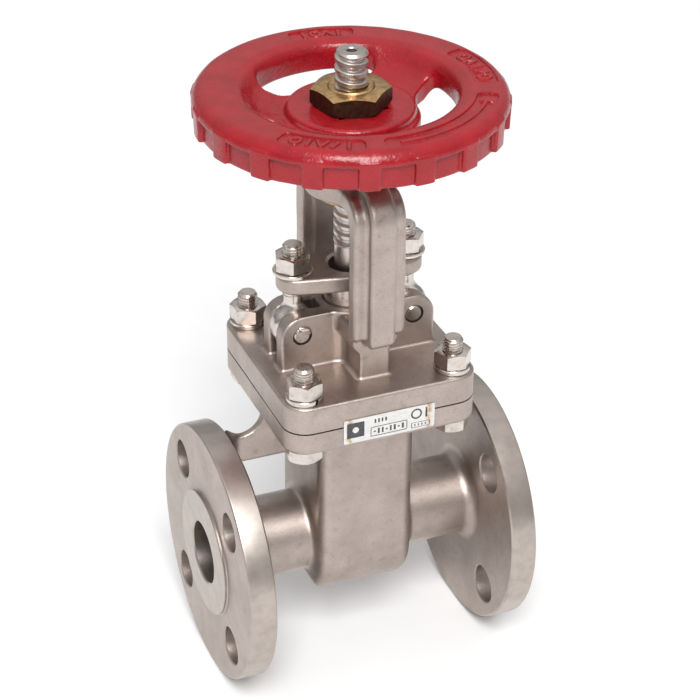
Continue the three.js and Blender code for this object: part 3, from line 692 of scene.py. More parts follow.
def flange_field(grid, spare):
    """Both pipe flanges, with some metal to spare where they are machined."""
    along = np.abs(grid.x)
    rho = np.hypot(grid.y, grid.z)
    front = FLANGE_FACE - RAISED_FACE_HEIGHT + spare
    disc = meet(rho - FLANGE_RADIUS - spare, between(along, FLANGE_BACK, front), 1.2)
    face = np.maximum(rho - RAISED_FACE_RADIUS - spare, between(along, FLANGE_BACK + 3, FLANGE_FACE + spare))
    return np.minimum(disc, face)


def chamber_field(grid, half_x, half_y, corner, bottom_edge):
    """The wedge chamber, or the space in it: upright walls on a half-round bottom."""
    centre = -4.0
    wall = np.where(grid.z > centre, np.abs(grid.y), np.hypot(grid.y, grid.z - centre)) - half_y
    ends = np.abs(grid.x) - half_x
    shell = meet(ends, wall, corner)
    side = meet(ends, centre - half_y - grid.z, bottom_edge)
    return meet(shell, side, 1.0)


def rib_field(grid):
    """The ribs from the chamber to the pipe flanges, filleted up to the body's top flange."""
    along = np.abs(grid.x)
    web = np.maximum(fuse(grid.z - 53.5, along - 37.5, 9), 41 - grid.z)
    web = np.maximum(web, along - FLANGE_BACK - 4)
    return meet(web, np.abs(grid.y) - 2, 1.3)


def body_casting():
    low = (-FLANGE_FACE - 1.5, -FLANGE_RADIUS - 1.5, -FLANGE_RADIUS - 1.5)
    high = (FLANGE_FACE + 1.5, FLANGE_RADIUS + 1.5, BODY_TOP + 1.5)
    grid = Grid(low, high, 0.6)
    along = np.abs(grid.x)
    neck = np.maximum(np.hypot(grid.y, grid.z - NECK_RISE) - NECK_RADIUS, along - FLANGE_BACK - 4)
    top = meet(box2(grid.x, grid.y, COVER_HALF, COVER_HALF, COVER_CORNER),
               between(grid.z, BODY_FLANGE_BOTTOM, BODY_TOP + 1.5), 1.1)
    solid = np.maximum(chamber_field(grid, *CHAMBER_HALVES, 5, 12), grid.z - BODY_TOP)
    for part, fillet in ((neck, 3.5), (top, 3), (rib_field(grid), 2.2), (flange_field(grid, 1.0), 4.5)):
        solid = fuse(solid, part, fillet)
    solid = solid + uneven(grid, 0.09, 26, 3)
    space = np.maximum(chamber_field(grid, *CAVITY_HALVES, 3.5, 4), grid.z - BODY_TOP - 3)
    return machine_body(grid.surface("body_casting", cut(solid, space, 0.6)))


def machine_body(body):
    """The turned flanges and bores, the flat top and the bolt holes."""
    face = FLANGE_FACE
    front = face - RAISED_FACE_HEIGHT
    rim = FLANGE_RADIUS
    half = [(FAR, FLANGE_BACK - 3), (rim - 0.8, FLANGE_BACK - 0.1),
            (rim, FLANGE_BACK + 0.7), (rim, front - 0.9), *arc(rim - 0.9, front - 0.9, 0.9, 0, 90, 4),
            (RAISED_FACE_RADIUS + 0.5, front), (RAISED_FACE_RADIUS, front + 0.5),
            (RAISED_FACE_RADIUS, face - 0.3), (RAISED_FACE_RADIUS - 0.3, face), (0, face)]
    keep_in(body, turn(lathe("envelope", mirrored(half), 192), 90, "Y"))
    keep_in(body, block("flat_top", (-FAR, -FAR, -FAR), (FAR, FAR, BODY_TOP)))
    bore = [(16.1, SEAT_DEPTH), (BORE_RADIUS, SEAT_DEPTH), (BORE_RADIUS, face - 0.6),
            (BORE_RADIUS + 1.6, face + 1), (0, face + 1)]
    cut_out(body, turn(lathe("bore", mirrored(bore), 128), 90, "Y"))
    hole = [(0, 46), (PIPE_HOLE_RADIUS + 0.5, 46), (PIPE_HOLE_RADIUS + 0.5, FLANGE_BACK),
            (PIPE_HOLE_RADIUS, FLANGE_BACK + 0.5), (PIPE_HOLE_RADIUS, front - 0.5),
            (PIPE_HOLE_RADIUS + 0.8, front + 0.3), (PIPE_HOLE_RADIUS + 0.8, face + 1), (0, face + 1)]
    for y in (-PIPE_HOLE_OFFSET, PIPE_HOLE_OFFSET):
        for z in (-PIPE_HOLE_OFFSET, PIPE_HOLE_OFFSET):
            for side in (-1, 1):
                tool = turn(lathe("hole", hole, 72), 90 * side, "Y")
                cut_out(body, shift(tool, 0, y, z))
    cut_out(body, *joint_holes(BODY_FLANGE_BOTTOM - 1, BODY_TOP + 1))
    rails = [block("rail", (-1.8, low, -8), (1.8, low + 3.5, 58)) for low in (-18.6, 15.1)]
    return join_on(body, *rails)


def joint_holes(bottom, top):
    """Tools for the four bolt holes of the joint between body and bonnet."""
    return [shift(cylinder("hole", JOINT_HOLE_RADIUS, bottom, top, 48), x, y, 0)
            for x in (-BOLT_OFFSET, BOLT_OFFSET) for y in (-BOLT_OFFSET, BOLT_OFFSET)]


def bonnet_casting():
    high = (COVER_HALF + 1.5, COVER_HALF + 1.5, BONNET_HIGH[2] + 1.5)
    grid = Grid((-high[0], -high[1], BONNET_BOTTOM - 1.5), high, 0.5)
    x, y, z = np.abs(grid.x), np.abs(grid.y), grid.z
    slab = between(z, BONNET_BOTTOM - 1.5, COVER_TOP)
    cover = meet(box2(x, y, COVER_HALF, COVER_HALF, COVER_CORNER), slab, 1.1)
    stuffing_box = meet(np.hypot(x, y) - BOX_RADIUS, between(z, COVER_TOP - 4, BOX_TOP + 1.5), 0.5)
    root = COVER_TOP - 4 - z
    ears = meet(np.maximum(corner_top(x, z, 32.3, BOX_TOP, 8.7), root), between(y, 3.8, 10.5), 0.8)
    rise = np.clip((z - 96) / 5.5, 0, 1)
    half = 6.3 + 3.2 * (1 - np.cos(math.pi * rise)) / 2
    arm = meet(np.maximum(y - 27, root), meet(x - half, z - 107.3, 2.2), 0.8)
    yoke = yoke_field(x, y, z)
    solid = cover
    for part, fillet in ((stuffing_box, 2.2), (ears, 1.6), (arm, 2.0), (yoke, 2.4)):
        solid = fuse(solid, part, fillet)
    solid = np.where(z > 140, yoke, solid) + uneven(grid, 0.08, 22, 8)
    return machine_bonnet(grid.surface("bonnet_casting", solid))


def yoke_field(x, y, z):
    """The T-shaped yoke: a flat arch, its outer rib, and the boss for the yoke nut."""
    opening = corner_top(y, z, 24.3, BOSS_BOTTOM, 4.5)
    arch = meet(corner_top(y, z, 31, 163.7, 10.5), 104.7 - z, 2.5)
    arch = meet(meet(arch, -opening, 1.0), x - 10.6, 1.6)
    rib = meet(corner_top(y, z, 34.8, 167.5, 14), 102 - z, 3)
    rib = meet(meet(rib, -opening, 0.5), x - 5.2, 1.5)
    boss = meet(np.hypot(x, y) - 18, between(z, BOSS_BOTTOM, 172), 1.0)
    return fuse(fuse(arch, rib, 1.8), boss, 2.5)


def machine_bonnet(bonnet):
    top = BONNET_HIGH[2]
    keep_in(bonnet, block("slab", (-FAR, -FAR, BONNET_BOTTOM), (FAR, FAR, top)))
    bore = [(0, 60), (10.1, 60), (10.1, 80), (6.6, 80), (6.6, 83), (10.3, 83), (10.3, 107.3), (11.1, 108.1),
            (11.1, 109), (0, 109)]
    cut_out(bonnet, lathe("bore", bore))
    cut_out(bonnet, cylinder("above", BOX_RADIUS + 1.8, BOX_TOP, BOX_TOP + 4, 96))
    boss = [(0, 150), (20.5, 150), (20.5, BOSS_BOTTOM), (BOSS_BORE, BOSS_BOTTOM), (BOSS_BORE, top - 0.6),
            (BOSS_BORE + 0.6, top), (BOSS_BORE + 1.4, top + 0.8), (0, top + 0.8)]
    cut_out(bonnet, lathe("boss_bore", boss))
    for side in (-1, 1):
        pin = turn(cylinder("pin_hole", 4.0, -20, 20, 48), 90, "X")
        cut_out(bonnet, shift(pin, side * EYE_X, 0, EYE_Z))
    return cut_out(bonnet, *joint_holes(BONNET_BOTTOM - 1, COVER_TOP + 1))


# ---- handwheel

SQUARE_ANGLE = 97.3


def wheel_radii():
    """Heights of the wheel's top and underside at each radius."""
    r = np.linspace(0, 62, 1241)
    top = np.interp(r, (0, 25.6, 30, 35, 37.5, 39.5, 41.5, 45, 62),
                    (187, 187, 187.9, 190, 191.9, 194.9, 197.3, 198.5, 198.5))
    under = np.interp(r, (0, 18.5, 22.5, 36, 40, 43, 62), (178, 178, 180, 181.5, 186.5, 187, 187))
    weights = np.hanning(61)
    weights /= weights.sum()
    return r, *(np.convolve(np.pad(line, 30, mode="edge"), weights, mode="valid") for line in (top, under))


def wheel_casting():
    reach = WHEEL_HIGH[0] + 1
    bottom, top = WHEEL_LOW[2], WHEEL_HIGH[2]
    grid = Grid((-reach, -reach, bottom - 1), (reach, reach, top + 1), 0.42)
    r = np.hypot(grid.x, grid.y)
    angle = np.degrees(np.arctan2(grid.y, grid.x))
    z = grid.z
    radii, top_line, under_line = wheel_radii()
    ceiling = np.interp(r, radii, top_line)
    slope = np.interp(r, radii, np.gradient(top_line, radii))
    floor = np.interp(r, radii, under_line)
    above = (z - ceiling) / np.hypot(1, slope)
    web = meet(above, floor - z, 1.0)
    rim = meet(r - 59.9, above, 5.5)
    rim = meet(rim, np.maximum(40 - r, np.where(r > 56, 192.6, 186.5) - z), 0.6)
    skirt = meet(r - 58.1, np.maximum(55.3 - r, 183.5 - z), 0.7)
    solid = fuse(np.minimum(np.maximum(web, r - 50), rim), np.maximum(skirt, z - 195), 0.5)
    solid = fuse(solid, lug_field(r, angle, z), 0.5)
    groove = meet(between(r, 45, 55.3), z - 192.5, 1.5)
    solid = cut(solid, np.maximum(groove, 180 - z), 0.8)
    solid = cut(solid, window_field(r, angle), 1.5)
    hub = meet(r - 18.5, between(z, bottom, 188), 1.0)
    disc = meet(r - 24.6, between(z, 184, 190.5), 1.5)
    solid = fuse(fuse(solid, hub, 2.5), disc, 1.3)
    solid = cut(solid, pad_field(r, angle, z), 0.35)
    solid = solid + uneven(grid, 0.07, 15, 5)
    solid = np.minimum(solid, mark_field(grid, r, angle))
    wheel = grid.surface("handwheel_casting", solid)
    keep_in(wheel, block("slab", (-FAR, -FAR, bottom), (FAR, FAR, top)))
    square = prism("square", rectangle(10.8, 10.8, 0.6, 3), bottom - 2, top)
    return cut_out(wheel, turn(square, SQUARE_ANGLE))


def from_nearest(angle, first, step):
    """The angle from the nearest of a ring of directions, the first of which is given."""
    return (angle - first + step / 2) % step - step / 2


def lug_field(r, angle, z):
    """Eighteen grip lugs round the skirt."""
    offset = from_nearest(angle, 14.3, 20)
    across = np.abs(np.radians(offset)) * r - 4.0
    lug = meet(across, r - 60.1 + 0.03 * (192 - z), 0.8)
    return meet(lug, np.maximum(between(z, 183.5, 195), 56 - r), 0.7)


def window_field(r, angle):
    """The three openings between the spokes, whose sides are parallel to the spokes."""
    offset = np.abs(from_nearest(angle, 94.3, 120))
    side = 11.6 - r * np.sin(np.radians(60 - offset))
    return meet(meet(26.5 - r, r - 40, 3), side, 5.5)


# Each sunk pad on the rim: middle angle, half angle, radius, half width.
BACK_PAD = (81.5, 14.5, 49.8, 3.9)
RIGHT_PAD = (-1.5, 18.5, 51.0, 4.3)
FRONT_PAD = (-124, 17.5, 51.6, 4.3)
ARROW_PAD = (-64, 34.5, 51.4, 4.0)
PAD_DEPTH = 0.95


def pad_field(r, angle, z):
    """Shallow sunk pads round the rim's top."""
    pads = []
    for middle, half, radius, width in (BACK_PAD, RIGHT_PAD, FRONT_PAD, ARROW_PAD):
        offset = np.abs(from_nearest(angle, middle, 360))
        along = np.radians(offset - half) * radius
        pads.append(meet(along, np.abs(r - radius) - width, 2.4))
    return np.maximum(np.minimum.reduce(pads), WHEEL_HIGH[2] - PAD_DEPTH - z)


def on_rim(grid, middle, radius):
    """Coordinates along and across the rim, about a point on it."""
    angle = math.radians(middle)
    x = grid.x - radius * math.cos(angle)
    y = grid.y - radius * math.sin(angle)
    return y * math.cos(angle) - x * math.sin(angle), x * math.cos(angle) + y * math.sin(angle)


def bar_mark(u, v):
    return box2(u, v, 0.8, 2.9, 0.5)


def slant_mark(u, v):
    return box2(u * 0.9 + v * 0.43, v * 0.9 - u * 0.43, 0.8, 2.9, 0.5)


def ring_mark(u, v):
    return np.abs(np.hypot(u, v * 0.8) - 1.8) - 0.7


def chevron_mark(u, v):
    return box2(np.abs(u) - 1.0 + v * 0.4, v, 0.75, 2.8, 0.5)


def mark_field(grid, r, angle):
    """Raised generic marks in the pads: a curved arrow, rings, bars and chevrons."""
    middle, half, radius, _ = ARROW_PAD
    offset = from_nearest(angle, middle, 360)
    reach = math.radians(half) * radius
    bow = meet(np.abs(np.radians(offset) * radius) - reach + 5.5, np.abs(r - radius) - 0.8, 0.4)
    along, outward = on_rim(grid, middle + half - 5.5, radius)
    head = np.maximum(np.abs(outward) * 0.86 + along * 0.5 - 1.3, -along - 2.4)
    marks = [bow, head]
    rows = (
        (BACK_PAD, 4.6, (bar_mark, chevron_mark, ring_mark, bar_mark)),
        (RIGHT_PAD, 4.9, (ring_mark, slant_mark, bar_mark, chevron_mark, ring_mark)),
        (FRONT_PAD, 4.9, (ring_mark, bar_mark, chevron_mark, slant_mark, bar_mark)),
    )
    for (middle, _, radius, _), spacing, shapes in rows:
        for n, shape in enumerate(shapes):
            step = (n - (len(shapes) - 1) / 2) * spacing
            marks.append(shape(*on_rim(grid, middle + math.degrees(step / radius), radius)))
    top = WHEEL_HIGH[2]
    return meet(np.minimum.reduce(marks), between(grid.z, top - 2, top - 0.15), 0.3)


# ---- gland and eyebolts

def gland_plate():
    """A plate that narrows from its round middle to its two round ends, with soft edges."""
    grid = Grid((-31, -14, 115), (31, 14, 124.5), 0.3)
    x = np.abs(grid.x)
    distance = 30.2 - 8.5
    sine = (13 - 8.5) / distance
    cosine = math.sqrt(1 - sine * sine)
    y = np.abs(grid.y)
    middle = np.hypot(x, y) - 13
    end = np.hypot(x - distance, y) - 8.5
    flank = x * sine + y * cosine - 13
    along = x * cosine - y * sine
    outline = np.where(along < 0, middle, np.where(along > distance * cosine, end, flank))
    solid = meet(outline, between(grid.z, GLAND_BOTTOM, GLAND_TOP), 1.6)
    plate = grid.surface("gland_plate", solid + uneven(grid, 0.06, 12, 12))
    centre = [(0, 110), (8.4, 110), (8.4, GLAND_TOP - 0.9), (9.6, GLAND_TOP + 0.3), (9.6, 130), (0, 130)]
    cut_out(plate, lathe("centre", centre, 72))
    for side in (-1, 1):
        cut_out(plate, shift(cylinder("hole", 4.6, 110, 130, 48), side * EYE_X, 0, 0))
    return plate


def m8_thread(bottom, top, crest=4.0, root=3.35):
    return threaded_rod("thread", root, crest, M8_PITCH, bottom, top, RIGHT_HAND, VEE, 40)


def eyebolt(name):
    """A soft round eye, a flared neck and a rolled thread."""
    grid = Grid((-9.6, -4.2, 90), (9.6, 4.2, 118), 0.22)
    z = grid.z - EYE_Z
    flat = meet(np.hypot(grid.x, z) - 9, np.abs(grid.y) - 3.5, 2.4)
    neck = np.maximum(np.hypot(grid.x, grid.y) - 3.75, np.abs(z - 9) - 7)
    eye = grid.surface(name, fuse(flat, neck, 2.6) + uneven(grid, 0.04, 8, 21))
    thread = m8_thread(110, 137)
    blank = [(0, 113), (3.6, 113), (4.0, 113.5), (4.0, 135), (3.75, 135.4), (3.2, 135.8), (0, 135.8)]
    join_on(eye, keep_in(thread, lathe("blank", blank, 64)))
    bore = [(3.7, 3.2), (4.4, 4.2), (4.4, 9), (0, 9)]
    hole = turn(lathe("hole", mirrored(bore), 48), 90, "X")
    return cut_out(eye, shift(hole, 0, 0, EYE_Z))


def pin(name):
    outline = mirrored([(3.5, 9.9), (2.9, 10.5), (0, 10.5)])
    return shift(turn(lathe(name, outline, 48), 90, "X"), 0, 0, EYE_Z)


def weld_tack():
    """A small smear of weld on the end of the left pin."""
    grid = Grid((-29, -12.2, 96), (-19, -9.4, 105), 0.16)
    lumps = ((-21.9, -10.7, 102.4, 1.5), (-23.2, -10.9, 102.9, 1.3), (-24.5, -10.7, 103.0, 1.2),
             (-21.0, -10.6, 101.3, 1.1))
    solid = None
    for x, y, z, radius in lumps:
        lump = np.sqrt((grid.x - x) ** 2 + ((grid.y - y) * 1.9) ** 2 + (grid.z - z) ** 2) - radius
        solid = lump if solid is None else fuse(solid, lump, 0.7)
    return grid.surface("weld_tack_left", solid)


# ---- fasteners

def hexagon(name, across_flats, bottom, top, chamfer_top=True, angle=30):
    """A hexagonal prism whose corners are turned away at a cone."""
    corner = across_flats / math.sqrt(3)
    points = [(corner * math.cos(math.pi * i / 3), corner * math.sin(math.pi * i / 3)) for i in range(6)]
    blank = prism(name, points, bottom, top)
    flat = across_flats / 2 * 0.98
    reach = corner + 0.6
    rise = (reach - flat) * math.tan(math.radians(angle))
    outline = [(0, bottom), (flat, bottom), (reach, bottom + rise)]
    outline += [(reach, top - rise), (flat, top)] if chamfer_top else [(reach, top)]
    return keep_in(blank, lathe("cone", [*outline, (0, top)]))


def m8_nut(name, bottom):
    top = bottom + 6.5
    nut = hexagon(name, M8_FLATS, bottom, top)
    cut_out(nut, m8_thread(bottom - 2, top + 2, crest=4.12, root=3.45))
    mouth = mirrored([(3.4, top - 0.7), (5.1, top + 1), (0, top + 1)], (bottom + top) / 2)
    return cut_out(nut, lathe("mouth", mouth, 64))


def bonnet_bolt(name):
    bottom = BODY_FLANGE_BOTTOM - 5.5
    head = hexagon(name, M8_FLATS, bottom, BODY_FLANGE_BOTTOM, chamfer_top=False)
    top = heights("bonnet_bolt_1")[1]
    thread = m8_thread(BODY_FLANGE_BOTTOM - 2, top + 1.5)
    blank = [(0, BODY_FLANGE_BOTTOM - 1), (4, BODY_FLANGE_BOTTOM - 1), (4, top - 0.9), (3.2, top), (0, top)]
    return join_on(head, keep_in(thread, lathe("blank", blank, 64)))


def washer(name, inner, outer, bottom, top, soft=0.35):
    outline = [(inner, bottom), (outer - soft, bottom), (outer, bottom + soft), (outer, top - soft),
               (outer - soft, top), (inner + 0.2, top), (inner, top - 0.2)]
    return lathe(name, outline, 72)


def spring_washer(name):
    """A split ring with a skewed slit, whose ends stand a little apart. The slit faces -Y."""
    ring = washer(name, 4.3, 7.4, COVER_TOP, COVER_TOP + 2, 0.25)
    slit = prism("slit", [(-0.62, -9), (0.62, -9), (0.62, -3), (-0.62, -3)], -3, 3)
    slit = shift(turn(slit, 24, "Y"), 0, 0, COVER_TOP + 1)
    return cut_out(ring, slit)


# ---- stem, yoke nut and wheel nut

STEM_PITCH = 4.0
STEM_CREST = 6.35
STEM_ROOT = 5.15
STEM_SHAPE = ((0.0, 0.0), (0.12, 0.0), (0.17, 0.1), (0.27, 0.82), (0.33, 1.0),
              (0.67, 1.0), (0.73, 0.82), (0.83, 0.1), (0.88, 0.0))


def stem_thread(name, spare, bottom, top):
    """The stem's thread, grown all over by a clearance."""
    root, crest = STEM_ROOT + spare, STEM_CREST + spare
    return threaded_rod(name, root, crest, STEM_PITCH, bottom, top, LEFT_HAND, STEM_SHAPE, 96)


def stem():
    top = heights("stem")[1]
    thread = stem_thread("stem_rod", 0, 125, 217)
    blank = [(0, 128), (5.1, 128), (5.1, 131.6), (STEM_CREST, 133.2), (STEM_CREST, top - 1.2),
             (STEM_CREST - 0.9, top), (2.3, top), (2.0, top - 0.4), (2.0, top - 3), (0, top - 3)]
    keep_in(thread, lathe("blank", blank))
    shank = [(0, 22.6), (3.9, 22.6), (3.9, 29.2), (5.92, 30.2), (5.92, 40), (8.4, 40), (8.4, 41.8),
             (5.92, 44.2), (5.92, 131.8), (5.12, 132.7), (0, 132.7)]
    return join_on(lathe("stem_rod", shank), thread, block("head", (-5, -6.6, 18.4), (5, 6.6, 23.6)))


def yoke_nut():
    bottom, top = heights("yoke_nut")
    outline = [(5.2, bottom), (13.3, bottom), (13.6, bottom + 0.3), (13.6, 156.0), (13.3, 156.2),
               (11.8, 156.2), (11.8, 189.5), (11.5, 189.8), (8.6, 189.8), (8.6, top - 0.5), (8.1, top),
               (5.2, top)]
    blank = lathe("yoke_nut_bronze", outline, 128)
    ring = cylinder("ring", 30, 171.2, 189.9)
    square = prism("square", rectangle(10.6, 10.6, 1.0, 3), 168, 192)
    cut_out(blank, turn(cut_out(ring, square), SQUARE_ANGLE))
    cut_out(blank, stem_thread("tap", 0.22, bottom - 6, top + 6))
    mouth = [(0, top - 1.4), (4.9, top - 1.4), (6.9, top + 0.4), (0, top + 0.4)]
    return cut_out(blank, lathe("mouth", mouth))


def wheel_nut():
    bottom, top = heights("handwheel_nut")
    nut = hexagon("wheel_nut_brass", 27, bottom, top, angle=27)
    bore = [(0, bottom - 1), (8.75, bottom - 1), (8.75, top - 0.3), (9.6, top + 0.55), (0, top + 0.55)]
    return turn(cut_out(nut, lathe("bore", bore)), 43)


# ---- inner parts

TAPER_SLOPE = math.tan(math.radians(5))


def taper(left, right):
    """A block from the left, with a tapered face at the right or on both sides."""
    rise = 30 * TAPER_SLOPE
    low_left, high_left = (left, left) if left < -30 else (left + rise, left - rise)
    corners = [(low_left, -30), (right - rise, -30), (right + rise, 30), (high_left, 30)]
    return turn(prism("taper", corners, -30, 30), 90, "X")


def wedge():
    disc = turn(cylinder("wedge_disc", 16.8, -14, 14, 96), 90, "Y")
    keep_in(disc, taper(-8, 8))
    join_on(disc, block("lug", (-7, -10, 8), (7, 10, 28.6)))
    cut_out(disc, block("slot", (-20, -7, 18), (20, 7, 24)), block("neck", (-20, -4.3, 23), (20, 4.3, 30)))
    for sign in (-1, 1):
        low, high = sorted((sign * 14.7, sign * 20))
        cut_out(disc, block("groove", (-2.2, low, -20), (2.2, high, 20)))
    bevel = disc.modifiers.new("soft_edges", "BEVEL")
    bevel.width = 0.4 * MM
    bevel.segments = 2
    bevel.limit_method = "ANGLE"
    bevel.angle_limit = math.radians(35)
    return disc


def seat_ring(name, sign):
    """A ring whose inner face follows the wedge. The sign is the side of the valve it is on."""
    outline = [(BORE_RADIUS, 1), (15.9, 1), (15.9, 18.8), (15.7, 19), (BORE_RADIUS + 0.3, 19),
               (BORE_RADIUS, 18.7)]
    ring = turn(lathe(name, outline, 128), 90, "Y")
    cut_out(ring, taper(-40, 8.15))
    return ring if sign > 0 else settle(ring, Matrix.Scale(-1, 4, (1, 0, 0)))


def packing_ring(name, node):
    bottom, top = heights(node)
    upper = [(10.2, top - 0.5), (9.7, top), (6.5, top), (6.05, top - 0.5)]
    return lathe(name, mirrored(upper, (bottom + top) / 2))


def gland_sleeve():
    outline = [(6.3, 100.6), (9.9, 100.6), (10.15, 100.9), (10.15, 116.1), (9.95, 116.3), (8.2, 116.3),
               (8.2, 115.3), (6.3, 113.3)]
    return lathe("gland_sleeve", outline, 128)


def gasket():
    half = COVER_HALF - 0.8
    sheet = prism("gasket_sheet", rectangle(half, half, COVER_CORNER - 0.8, 10), BODY_TOP, BONNET_BOTTOM)
    cut_out(sheet, prism("opening", rectangle(14, 18, 3, 4), BODY_TOP - 1, BONNET_BOTTOM + 1))
    return cut_out(sheet, *joint_holes(BODY_TOP - 1, BONNET_BOTTOM + 1))


def plate_pattern(u, v):
    """Distance to the plate's generic printed marks, about its middle."""
    badge = np.maximum(box2(u + 14.2, v - 0.4, 3.6, 3.4, 0.3), 1.3 - np.hypot(u + 14.2, v - 0.4))
    frame_a = np.abs(box2(u + 0.2, v + 2.0, 7.6, 2.0, 0.3)) - 0.16
    frame_b = np.abs(box2(u - 13.2, v + 3.2, 3.8, 1.1, 0.2)) - 0.14
    marks = [badge, frame_a, frame_b]
    for i in range(8):
        tall = 1.2 if i % 3 else 0.35
        marks.append(box2(u + 6.2 - 1.7 * i, v + 2.0, 0.42, tall, 0.1))
    for i in range(4):
        marks.append(box2(u + 6.0 - 1.5 * i, v - 2.7, 0.35, 0.9, 0.1))
        marks.append(box2(u - 10.8 - 1.5 * i, v + 3.2, 0.25, 0.5, 0.1))
    marks.append(np.abs(np.hypot(u - 11.4, v - 1.9) - 2.0) - 0.35)
    marks.append(box2(u - 15.6, v - 1.9, 0.4, 2.2, 0.1))
    return np.minimum.reduce(marks)


def name_plate():
    """A thin plate with round corners and plain printed marks, not quite flat."""
    low, high = span("nameplate")
    middle = (low + high) / 2
    grid = Grid(low - 0.4, high + 0.4, 0.11)
    u, v = grid.x - middle[0], grid.z - middle[2]
    half = (high - low) / 2
    bend = 0.09 * np.sin(u * 0.21 + 0.6) * np.cos(v * 0.35)
    front = low[1] + 0.15 + bend
    outline = box2(u, v, half[0] - 0.1, half[2] - 0.1, 0.8)
    marks = plate_pattern(np.broadcast_to(u, (u.shape[0], 1, v.shape[2])), v)
    stamp = np.clip(0.5 - marks / 0.2, 0, 1) * 0.05
    plate = np.maximum(outline, np.maximum(front + stamp - grid.y, grid.y - high[1]))

    def printed(centres, normals):
        x, _, z = centres
        return (normals[1] < -0.5) & (plate_pattern(x - middle[0], z - middle[2]) < 0)

    return finish_faces(grid.surface("name_plate", plate), "plate_metal", "print_ink", printed)


# ---- the assembly

BODY = "valve_body"
valve = finish_faces(body_casting(), "cast_steel", "flange_steel", turned_faces)
dress(valve, "cast_steel", "body", body=BODY)
dress(bonnet_casting(), "cast_steel", "bonnet", body=BODY)
dress(gasket(), "graphite", "bonnet_gasket", body=BODY)
dress(name_plate(), "plate_metal", "nameplate", body=BODY)
dress(weld_tack(), "fastener_steel", body=BODY)
for side, sign in (("outlet", 1), ("inlet", -1)):
    dress(seat_ring(f"seat_{side}", sign), "machined_steel", f"seat_ring_{side}", body=BODY)

bush_outline = [(8.3, 74.6), (9.8, 74.6), (10, 74.8), (10, 79.8), (9.8, 80), (6.5, 80),
                (6.2, 79.7), (6.2, 76.7)]
dress(lathe("back_seat", bush_outline, 128), "bronze", "back_seat_bush", body=BODY)

for i in range(1, 6):
    ring = packing_ring(f"packing_{i}", f"packing_ring_{i}")
    dress(ring, "graphite", f"packing_ring_{i}", body=BODY)
    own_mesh(ring)

dress(gland_sleeve(), "machined_steel", "packing_gland", body="gland")
dress(gland_plate(), "cast_steel", "gland_flange", body="gland")

WASHER_TOP = GLAND_TOP + 1.6
for side, x, degrees in (("left", -EYE_X, 12), ("right", EYE_X, -8)):
    nut = f"gland_nut_{side}"
    for made, node, body in (
        (eyebolt(f"swing_bolt_{side}"), f"eyebolt_{side}", BODY),
        (pin(f"hinge_pin_{side}"), f"eyebolt_pin_{side}", BODY),
        (washer(f"flat_washer_{side}", 4.3, 7.9, GLAND_TOP, WASHER_TOP), f"gland_washer_{side}", "gland"),
        (turn(m8_nut(f"gland_hex_{side}", WASHER_TOP), degrees), nut, nut),
    ):
        dress(shift(made, x, 0, 0), "fastener_steel", node, body=body)

PLACES = ((-1, -1), (1, -1), (1, 1), (-1, 1))
TURNS = (20, 50, 5, 35)
for i, ((across, along), degrees) in enumerate(zip(PLACES, TURNS), 1):
    for made, node in (
        (bonnet_bolt(f"cover_bolt_{i}"), f"bonnet_bolt_{i}"),
        (spring_washer(f"lock_washer_{i}"), f"spring_washer_{i}"),
        (m8_nut(f"cover_nut_{i}", COVER_TOP + 2), f"bonnet_nut_{i}"),
    ):
        shift(turn(made, degrees), across * BOLT_OFFSET, along * BOLT_OFFSET, 0)
        dress(made, "fastener_steel", node, body=BODY)

dress(wheel_casting(), "red_paint", "handwheel", body="wheel_assembly")
dress(wheel_nut(), "brass", "handwheel_nut", body="wheel_assembly")
dress(yoke_nut(), "bronze", "yoke_nut", body="wheel_assembly")
dress(stem(), "stem_steel", "stem", body="stem_and_wedge")
dress(wedge(), "machined_steel", "wedge", body="stem_and_wedge")


# ---- stage, light and camera

def stage_floor():
    """A large pale slab that the valve stands on."""
    look = Look("pale_paper", (0.86, 0.86, 0.86), 0.0, 0.7)
    look.colour(look.ramp(look.noise(60, 3), (0.3, (0.85, 0.85, 0.85)), (0.7, (0.88, 0.88, 0.88))))
    bottom = cad_bounds[0][2] / MM
    floor = block("studio_floor", (-3000, -3000, bottom - 8.2), (3000, 3000, bottom - 0.2))
    floor.data.materials.append(look.material)


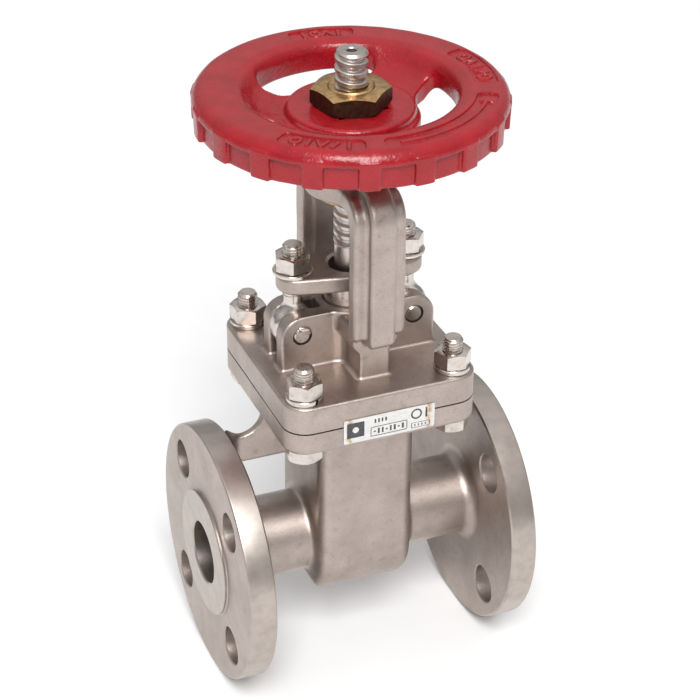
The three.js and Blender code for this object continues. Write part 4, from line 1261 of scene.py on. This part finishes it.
def toward(azimuth, elevation):
    """A unit vector to a viewpoint or a lamp. Azimuth 0 is in front, at -Y."""
    a, e = math.radians(azimuth), math.radians(elevation)
    return Vector((math.sin(a) * math.cos(e), -math.cos(a) * math.cos(e), math.sin(e)))


def softbox(name, way, distance, size, power):
    """A square area light, aimed at the valve's middle."""
    data = bpy.data.lights.new(name, "AREA")
    data.shape = "RECTANGLE"
    data.size = data.size_y = size
    data.energy = power
    made = linked(name, data)
    made.location = Vector(CENTRE) + way * distance
    made.rotation_euler = (Vector(CENTRE) - made.location).to_track_quat("-Z", "Y").to_euler()


def studio_world(horizon, zenith):
    """White light from all round that is stronger overhead than at the horizon."""
    world = bpy.data.worlds.new("studio")
    world.use_nodes = True
    nodes, links = world.node_tree.nodes, world.node_tree.links
    height = nodes.new("ShaderNodeSeparateXYZ")
    links.new(nodes.new("ShaderNodeTexCoord").outputs["Generated"], height.inputs["Vector"])
    strength = nodes.new("ShaderNodeMapRange")
    strength.inputs["To Min"].default_value = horizon
    strength.inputs["To Max"].default_value = zenith
    links.new(height.outputs["Z"], strength.inputs["Value"])
    nodes["Background"].inputs["Color"].default_value = (1, 1, 1, 1)
    links.new(strength.outputs["Result"], nodes["Background"].inputs["Strength"])
    bpy.context.scene.world = world


CENTRE = (0.0045, 0.0089, 0.0773)
stage_floor()
softbox("key_softbox", toward(-18, 48), 3.0, 1.3, 90)
studio_world(0.25, 1.0)
bpy.context.scene.view_settings.view_transform = "Standard"


def look_from(place, azimuth, elevation, roll):
    """The camera's matrix. Azimuth 0 looks along +Y."""
    back = toward(azimuth, elevation)
    right = Vector((0, 0, 1)).cross(back).normalized()
    up = back.cross(right)
    spin = Matrix.Rotation(math.radians(roll), 3, back)
    frame_axes = Matrix((spin @ right, spin @ up, back)).transposed().to_4x4()
    return Matrix.Translation(place) @ frame_axes


camera_data = bpy.data.cameras.new("photo_camera")
camera_data.lens = 114.8
camera_data.sensor_width = 36
camera_data.clip_start = 0.05
camera = linked("photo_camera", camera_data)
camera.matrix_world = look_from((-0.2935, -0.7054, 0.5430), -22.64, 31.07, 0.63)
bpy.context.scene.camera = camera
